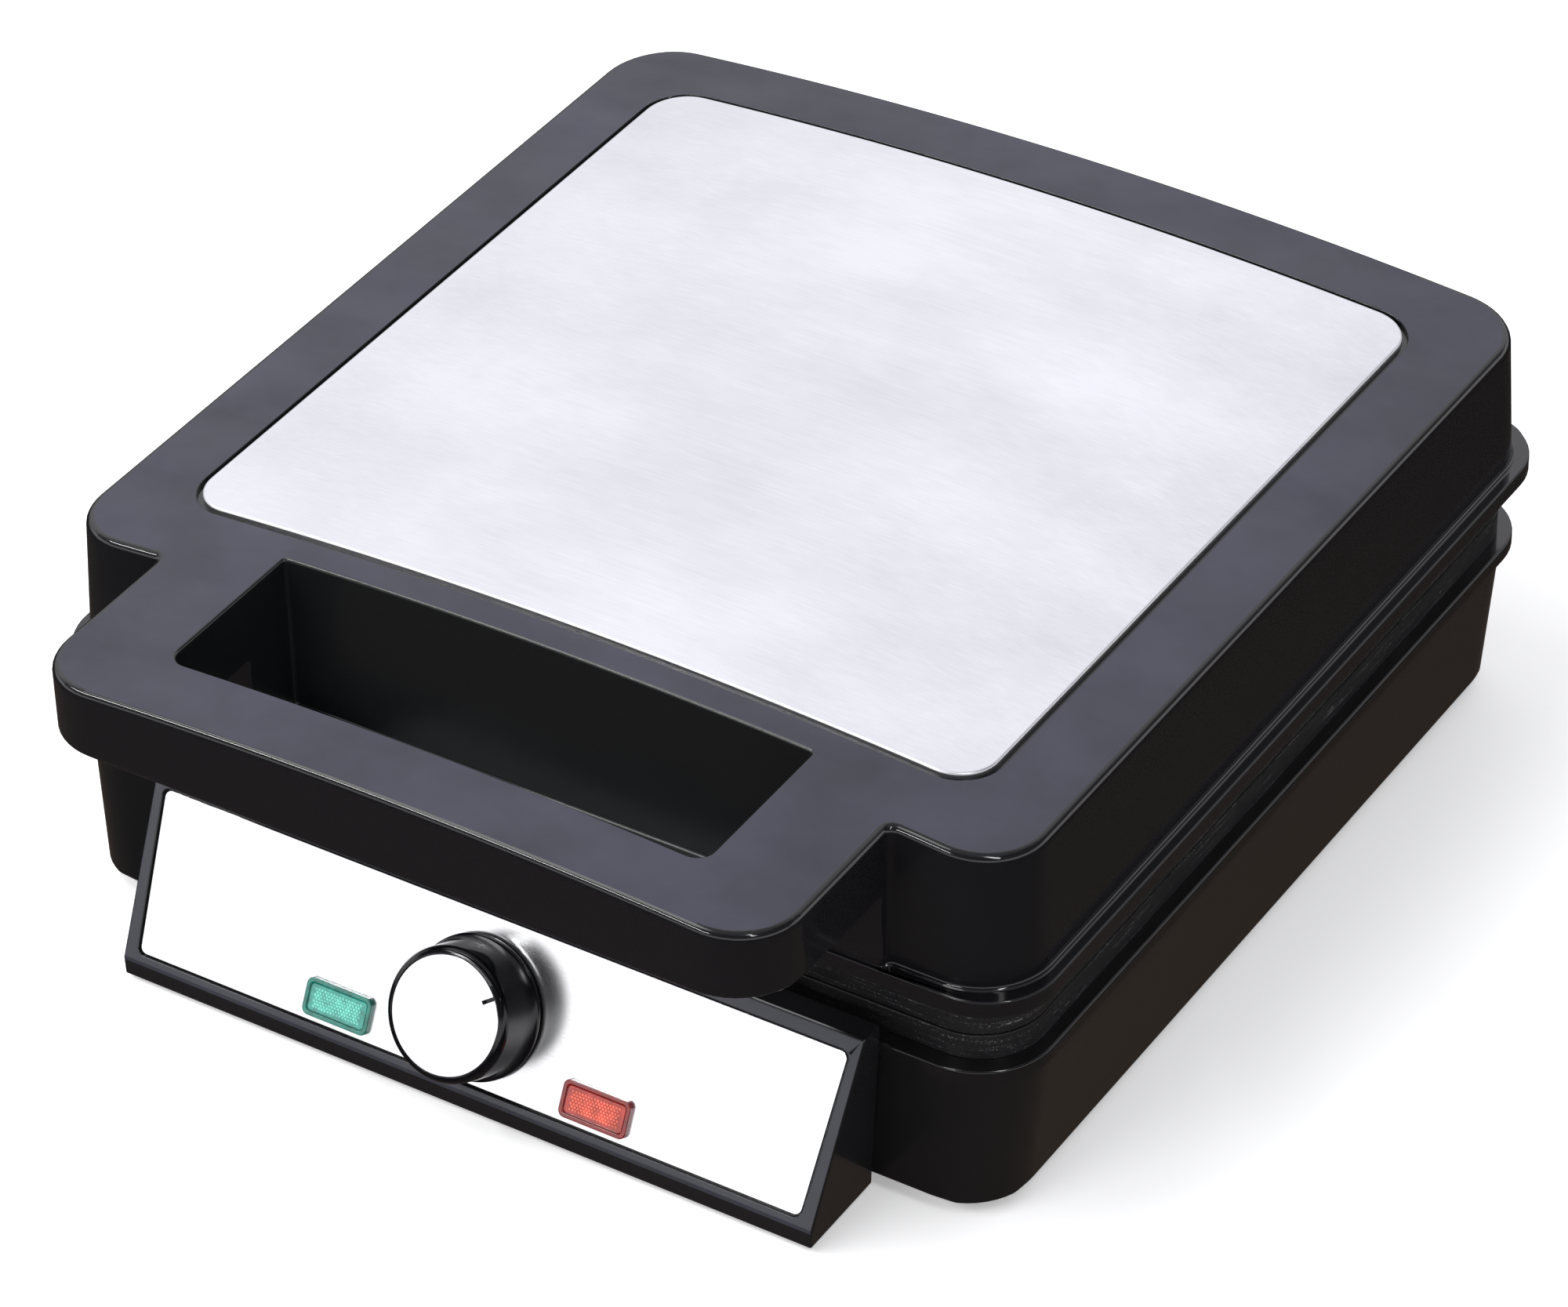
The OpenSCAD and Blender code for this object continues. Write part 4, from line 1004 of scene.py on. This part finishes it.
def make_housing():
    lean = math.radians(LEAN)
    top_y = PANEL_Y + PANEL_H * math.sin(lean)
    top_z = PANEL_Z + PANEL_H * math.cos(lean)
    back, back_foot = RIM_FRONT - 0.1, WALL_FRONT_FOOT - 0.1
    outline = [
        (PANEL_Y, HOUSING_Z), (PANEL_Y, PANEL_Z), (top_y, top_z), (back, top_z),
        (back, RIM_Z - RIM_H), (back_foot, BASE_Z), (back_foot, HOUSING_Z),
    ]
    housing = wedge("panel_housing", outline, 0)
    floor, roof = HOUSING_Z + PANEL_WALL, top_z - PANEL_WALL
    hollow = [
        (panel_back(floor, PANEL_FRONT_T), floor), (panel_back(roof, PANEL_FRONT_T), roof),
        (back + 1, roof), (back + 1, floor),
    ]
    recess = prism("recess", face_outline(0), -BEZEL_DEPTH, 3)
    recess.data.transform(panel_matrix())
    hole = rod("knob_hole", (0, 0, -8), (0, 0, 1), 5.1, 9)
    hole.data.transform(panel_matrix(KNOB_UP))
    cut(housing, wedge("hollow", hollow, SHELL_T), recess, hole)
    for side in (-1, 1):
        pocket = prism("lens_hole", rounded(LENS_W - 3.8, LENS_H - 3.8, 0.5, n=3), -8, 1)
        pocket.data.transform(panel_matrix(LENS_UP, side * LENS_X))
        cut(housing, pocket)
    into_panel = panel_matrix().inverted()

    def edge_width(edge):
        first, second, middle = ends(edge)
        a, b = into_panel @ first, into_panel @ second
        if middle.y > back_foot - 0.3 or a.z < -60:
            return 0.0
        if near(a.z, 0) and near(b.z, 0):
            rim = abs(a.x) < panel_half(0) - 3 and 1 < a.y < PANEL_H - 1
            return RECESS_FILLET if rim else PANEL_FILLET
        outside = any(near(abs(p.x), panel_half(p.z)) for p in (first, second))
        low_edge = max(first.z, second.z) < PANEL_Z + 0.1
        if outside or (low_edge and middle.y < PANEL_Y + 0.1):
            return PANEL_SIDE_FILLET
        return 0.0

    soften(housing, edge_width, PANEL_FILLET, 3)

    def surface(face):
        turned = into_panel.to_3x3() @ face.normal
        at_face = into_panel @ face.center
        return 0 if turned.z > 0.9 and at_face.z > -0.3 else 1

    paint(housing, [BEZEL, PANEL_SIDE], surface)
    return publish(housing, "base", "panel_satin", "control_housing")


def make_fascia():
    low = -BEZEL_DEPTH + 0.02
    sheet = prism("fascia_sheet", face_outline(FASCIA_GAP), low, low + FASCIA_T)
    cut(sheet, rod("hole", (0, KNOB_UP, -4), (0, 0, 1), 5.4, 8))
    for side in (-1, 1):
        hole = prism("lens_hole", rounded(LENS_W - 1.6, LENS_H - 1.6, 1.4, n=4), -4, 4)
        hole.data.transform(Matrix.Translation((side * LENS_X, LENS_UP, 0)))
        cut(sheet, hole)

    def edge_width(edge):
        return FASCIA_FILLET if min(v.co.z for v in edge.verts) > low + FASCIA_T - 0.1 else 0.0

    soften(sheet, edge_width, FASCIA_FILLET, 2)
    sheet.data.transform(panel_matrix())
    paint(sheet, [FASCIA])
    return publish(sheet, "base", "fascia_steel", "control_plate", flat_over=100)


def make_lens(side, name, slot_name, replaced, rim, field, cells):
    """Indicator lens: a raised rim, a sunk field, and a honeycomb of small prisms in it."""
    foot = -BEZEL_DEPTH + FASCIA_T + 0.04
    top = foot + LENS_T
    well_w, well_h = LENS_W - 2 * LENS_RIM, LENS_H - 2 * LENS_RIM
    lens = prism(name, rounded(LENS_W, LENS_H, 2.0, n=6), foot, top)
    add(lens, prism("stem", rounded(LENS_W - 4.2, LENS_H - 4.2, 1.0, n=4), -7, foot + 0.2))
    cut(
        lens,
        prism("well", rounded(well_w, well_h, 1.2, n=5), top - LENS_WELL, top + 1),
        rod("lamp_bore", (0, 0, -8), (0, 0, 1), 1.9, 6.4, 32),
    )

    def edge_width(edge):
        return LENS_FILLET if min(v.co.z for v in edge.verts) > top - 0.7 else 0.0

    def surface(face):
        in_well = face.normal.z > 0.9 and face.center.z < top - 0.5
        return 1 if in_well and face.area > 50 else 0

    soften(lens, edge_width, LENS_FILLET, 3)
    paint(lens, [rim, field], surface)
    lens.data.transform(panel_matrix(LENS_UP, side * LENS_X))
    publish(lens, "base", slot_name, replaced)
    bm = bmesh.new()
    radius = CELL_PITCH / math.sqrt(3) * 0.96
    half_w, half_h = LENS_W / 2 - 3.0, LENS_H / 2 - 2.6
    floor = top - LENS_WELL
    hexagon = arc(0, 0, radius, 30, 300, 5)
    for row in range(-8, 9):
        for col in range(-12, 13):
            x = (col + 0.5 * (row % 2)) * CELL_PITCH
            y = row * CELL_PITCH * math.sqrt(3) / 2
            if abs(x) > half_w or abs(y) > half_h:
                continue
            low = [bm.verts.new((x + u, y + v, floor - 0.05)) for u, v in hexagon]
            high = [
                bm.verts.new((x + CELL_TAPER * u, y + CELL_TAPER * v, floor + CELL_H))
                for u, v in hexagon
            ]
            for k in range(6):
                bm.faces.new((low[k], low[(k + 1) % 6], high[(k + 1) % 6], high[k]))
            bm.faces.new(tuple(reversed(low)))
            bm.faces.new(tuple(high))
    bmesh.ops.recalc_face_normals(bm, faces=bm.faces)
    comb = mesh_object(name + "_cells", bm)
    comb.data.transform(panel_matrix(LENS_UP, side * LENS_X))
    paint(comb, [cells])
    publish(comb, "base", slot_name, sharp=20)


def make_knob():
    face_r = KNOB_DIA / 2
    cap_r = face_r - 0.5
    waist = face_r + 1.9
    foot = KNOB_FOOT
    front = KNOB_LEN + foot
    profile = [(0, foot + 6), (face_r - 3.2, foot + 6), (face_r - 2.2, foot)]
    profile += [(SKIRT_R - 0.3, foot), (SKIRT_R, foot + 0.3), (SKIRT_R, foot + 0.8)]
    # Flare from the skirt up to the waist as a quarter ellipse
    for i in range(1, 10):
        a = math.radians(10 * i)
        r = SKIRT_R - (SKIRT_R - waist) * math.sin(a)
        profile.append((r, foot + 0.8 + 5.2 * (1 - math.cos(a))))
    # Rounded shoulder: a quarter ellipse up to a fine lip round the disc
    for i in range(9):
        a = math.radians(10 * i + 5)
        profile.append((face_r - 0.1 + 1.8 * math.cos(a), front - 2.6 + 2.5 * math.sin(a)))
    seat_r, seat = cap_r + 0.12, front - DISC_SUNK
    profile += [(face_r - 0.12, front), (cap_r + 0.3, front), (seat_r, front - 0.2)]
    profile += [(seat_r, seat), (0, seat)]
    knob = lathe("knob_body", profile)
    cut(knob, rod("socket", (0, 0, foot), (0, 0, 1), SHAFT_R, 10.7, 48))
    knob.data.transform(panel_matrix(KNOB_UP))
    paint(knob, [KNOB])
    publish(knob, "knob", "knob_black", "knob", sharp=32)

    low = seat + 0.02
    top = low + 1.15
    disc = [(0, low), (cap_r, low), (cap_r, top - 0.15), (cap_r - 0.15, top), (0, top)]
    cap = lathe("knob_disc", disc)
    slot = block("slot", (-0.55, cap_r - 4, low - 1), (0.55, cap_r + 2, low + 3))
    slot.data.transform(Matrix.Rotation(math.radians(-POINTER_DEG), 4, "Z"))
    cut(cap, slot)
    cap.data.transform(panel_matrix(KNOB_UP))
    paint(cap, [CAP])
    publish(cap, "knob", "cap_steel", "knob_cap", sharp=30)


# ------------------------------------------------------------------ CAD nodes that stay

def finish_node(node, material):
    """A CAD node whose shape is right gets its finish."""
    nodes[node].data.materials.clear()
    nodes[node].data.materials.append(material)


def round_edges(node, width):
    """Gives an angular CAD node a fine edge radius, in millimetres."""
    obj = nodes[node]
    weld = obj.modifiers.new("weld", "WELD")
    weld.merge_threshold = 2e-6
    flat = obj.modifiers.new("flat", "DECIMATE")
    flat.decimate_type = "DISSOLVE"
    flat.angle_limit = math.radians(1.0)
    edge = obj.modifiers.new("edge", "BEVEL")
    edge.width = width * MM
    edge.segments = 2
    edge.limit_method = "ANGLE"
    edge.angle_limit = math.radians(40.0)


KEPT = [
    (COVER, ("bottom_cover", "handle_cover")),
    (RUBBER, ("rubber_feet", "cord_gland")),
    (ZINC, (
        "cover_screws", "housing_screws", "thermostat_body", "thermostat_shaft", "clamp_screws",
        "lower_plate_screws", "hinge_pins", "handle_screws", "upper_plate_screws",
    )),
    (BRASS, ("thermostat_nut", "terminal_screws")),
    (COPPER, ("sensor_bulb",)),
    (SHEATH, ("lower_element", "upper_element")),
    (TRAY, ("lower_reflector", "upper_reflector")),
    (CERAMIC, ("thermal_fuse", "terminal_block", "cord_clamp")),
    (SLEEVE, ("lower_leads", "upper_leads")),
    (LAMP, ("neon_lamps",)),
]


# ------------------------------------------------------------------ studio

def make_camera():
    """The main viewpoint, 33 degrees to the right and 37 degrees up, through a long lens."""
    data = bpy.data.cameras.new("camera")
    data.sensor_width = 36
    data.lens = 151.19
    data.clip_start = 0.05
    data.clip_end = 60
    camera = bpy.data.objects.new("camera", data)
    bpy.context.scene.collection.objects.link(camera)
    right = Vector((0.8474, 0.53055, -0.02078)).normalized()
    forward = Vector((-0.43565, 0.67239, -0.59842)).normalized()
    up = right.cross(forward).normalized()
    turn = Matrix((right, up, -forward)).transposed().to_4x4()
    camera.matrix_world = Matrix.Translation((0.80718, -1.23881, 1.15525)) @ turn
    bpy.context.scene.camera = camera


def make_floor():
    bm = bmesh.new()
    bmesh.ops.create_grid(bm, x_segments=1, y_segments=1, size=8)
    floor = mesh_object("floor", bm)
    r = Recipe("floor_paper", (0.95, 0.95, 0.95), 0.95, specular=0.1)
    r.bsdf.inputs["Emission Color"].default_value = (1.0, 1.0, 1.0, 1.0)
    r.bsdf.inputs["Emission Strength"].default_value = 0.32
    r.bump(r.noise(300, 2), 0.0001, 0.2)
    floor.data.materials.append(r.material)
    floor.visible_glossy = False


# Brightness of the light tent by height, on the camera's side and behind the object
TENT_FRONT = [
    (-1.0, (0.10, 0.08, 0.065)), (-0.70, (0.11, 0.08, 0.06)), (-0.52, (0.03, 0.025, 0.022)),
    (-0.05, (0.02, 0.02, 0.02)), (0.01, (0.9, 0.9, 0.91)), (0.08, (1.5, 1.5, 1.5)),
    (0.30, (1.5, 1.5, 1.53)), (0.38, (0.16, 0.16, 0.18)), (0.80, (0.10, 0.10, 0.12)),
    (1.0, (0.5, 0.5, 0.52)),
]
TENT_BACK = [
    (-1.0, (0.10, 0.08, 0.065)), (-0.70, (0.11, 0.08, 0.06)), (-0.52, (0.03, 0.025, 0.022)),
    (-0.05, (0.02, 0.02, 0.02)), (0.03, (0.5, 0.5, 0.52)), (0.30, (0.95, 0.95, 0.98)),
    (0.55, (1.35, 1.35, 1.42)), (0.75, (1.25, 1.25, 1.32)), (0.90, (0.6, 0.6, 0.64)),
    (1.0, (0.5, 0.5, 0.52)),
]


def make_world():
    """A light tent: a bright band low in front, dark above it, bright behind, and dark below."""
    world = bpy.data.worlds.new("tent")
    bpy.context.scene.world = world
    world.use_nodes = True
    tree = world.node_tree
    background = tree.nodes["Background"]
    place = tree.nodes.new("ShaderNodeTexCoord")
    axes = tree.nodes.new("ShaderNodeSeparateXYZ")
    tree.links.new(place.outputs["Generated"], axes.inputs[0])

    def measure(axis, low, high):
        scale = tree.nodes.new("ShaderNodeMapRange")
        scale.inputs["From Min"].default_value = low
        scale.inputs["From Max"].default_value = high
        tree.links.new(axes.outputs[axis], scale.inputs["Value"])
        return scale.outputs["Result"]

    def ramp(stops):
        made = tree.nodes.new("ShaderNodeValToRGB")
        marks = made.color_ramp.elements
        while len(marks) < len(stops):
            marks.new(0.5)
        for mark, (z, colour) in zip(marks, stops):
            mark.position = (z + 1) / 2
            mark.color = (*colour, 1.0)
        tree.links.new(height, made.inputs["Fac"])
        return made.outputs["Color"]

    height = measure("Z", -1.0, 1.0)
    blend = tree.nodes.new("ShaderNodeMix")
    blend.data_type = "RGBA"
    behind = tree.nodes.new("ShaderNodeMath")
    behind.operation = "MULTIPLY"
    tree.links.new(measure("Y", -0.15, 0.2), behind.inputs[0])
    tree.links.new(measure("X", 0.5, 0.1), behind.inputs[1])
    tree.links.new(behind.outputs[0], blend.inputs[0])
    tree.links.new(ramp(TENT_FRONT), blend.inputs[6])
    tree.links.new(ramp(TENT_BACK), blend.inputs[7])
    tree.links.new(blend.outputs[2], background.inputs["Color"])
    background.inputs["Strength"].default_value = 1.0


def make_light(name, place, aim, size, power):
    data = bpy.data.lights.new(name, "AREA")
    data.shape = "RECTANGLE"
    data.size, data.size_y = size
    data.energy = power
    light = bpy.data.objects.new(name, data)
    bpy.context.scene.collection.objects.link(light)
    light.location = place
    light.rotation_mode = "QUATERNION"
    light.rotation_quaternion = (Vector(aim) - Vector(place)).to_track_quat("-Z", "Y")


make_camera()
make_floor()
make_world()
make_light("key", (-0.9, -0.5, 2.2), (0, 0, 0.05), (1.2, 1.2), 18)
make_light("front_strip", (-0.88, -1.2, 1.4), (0, 0, 0.1), (2.2, 0.08), 24)
make_light("corner_strip", (1.08, -0.60, 1.60), (0, 0, 0.1), (0.16, 0.9), 7)

make_lid()
make_top_plate()
make_waffle_plates()
make_base()
make_housing()
make_fascia()
make_lens(-1, "lens_green", "lens_green", "green_lens", GREEN_RIM, GREEN_FIELD, GREEN_CELLS)
make_lens(1, "lens_red", "lens_red", "red_lens", RED_RIM, RED_FIELD, RED_CELLS)
make_knob()
for finish, node_names in KEPT:
    for node_name in node_names:
        finish_node(node_name, finish)
round_edges("bottom_cover", 0.4)

bpy.context.scene.view_settings.view_transform = "Standard"
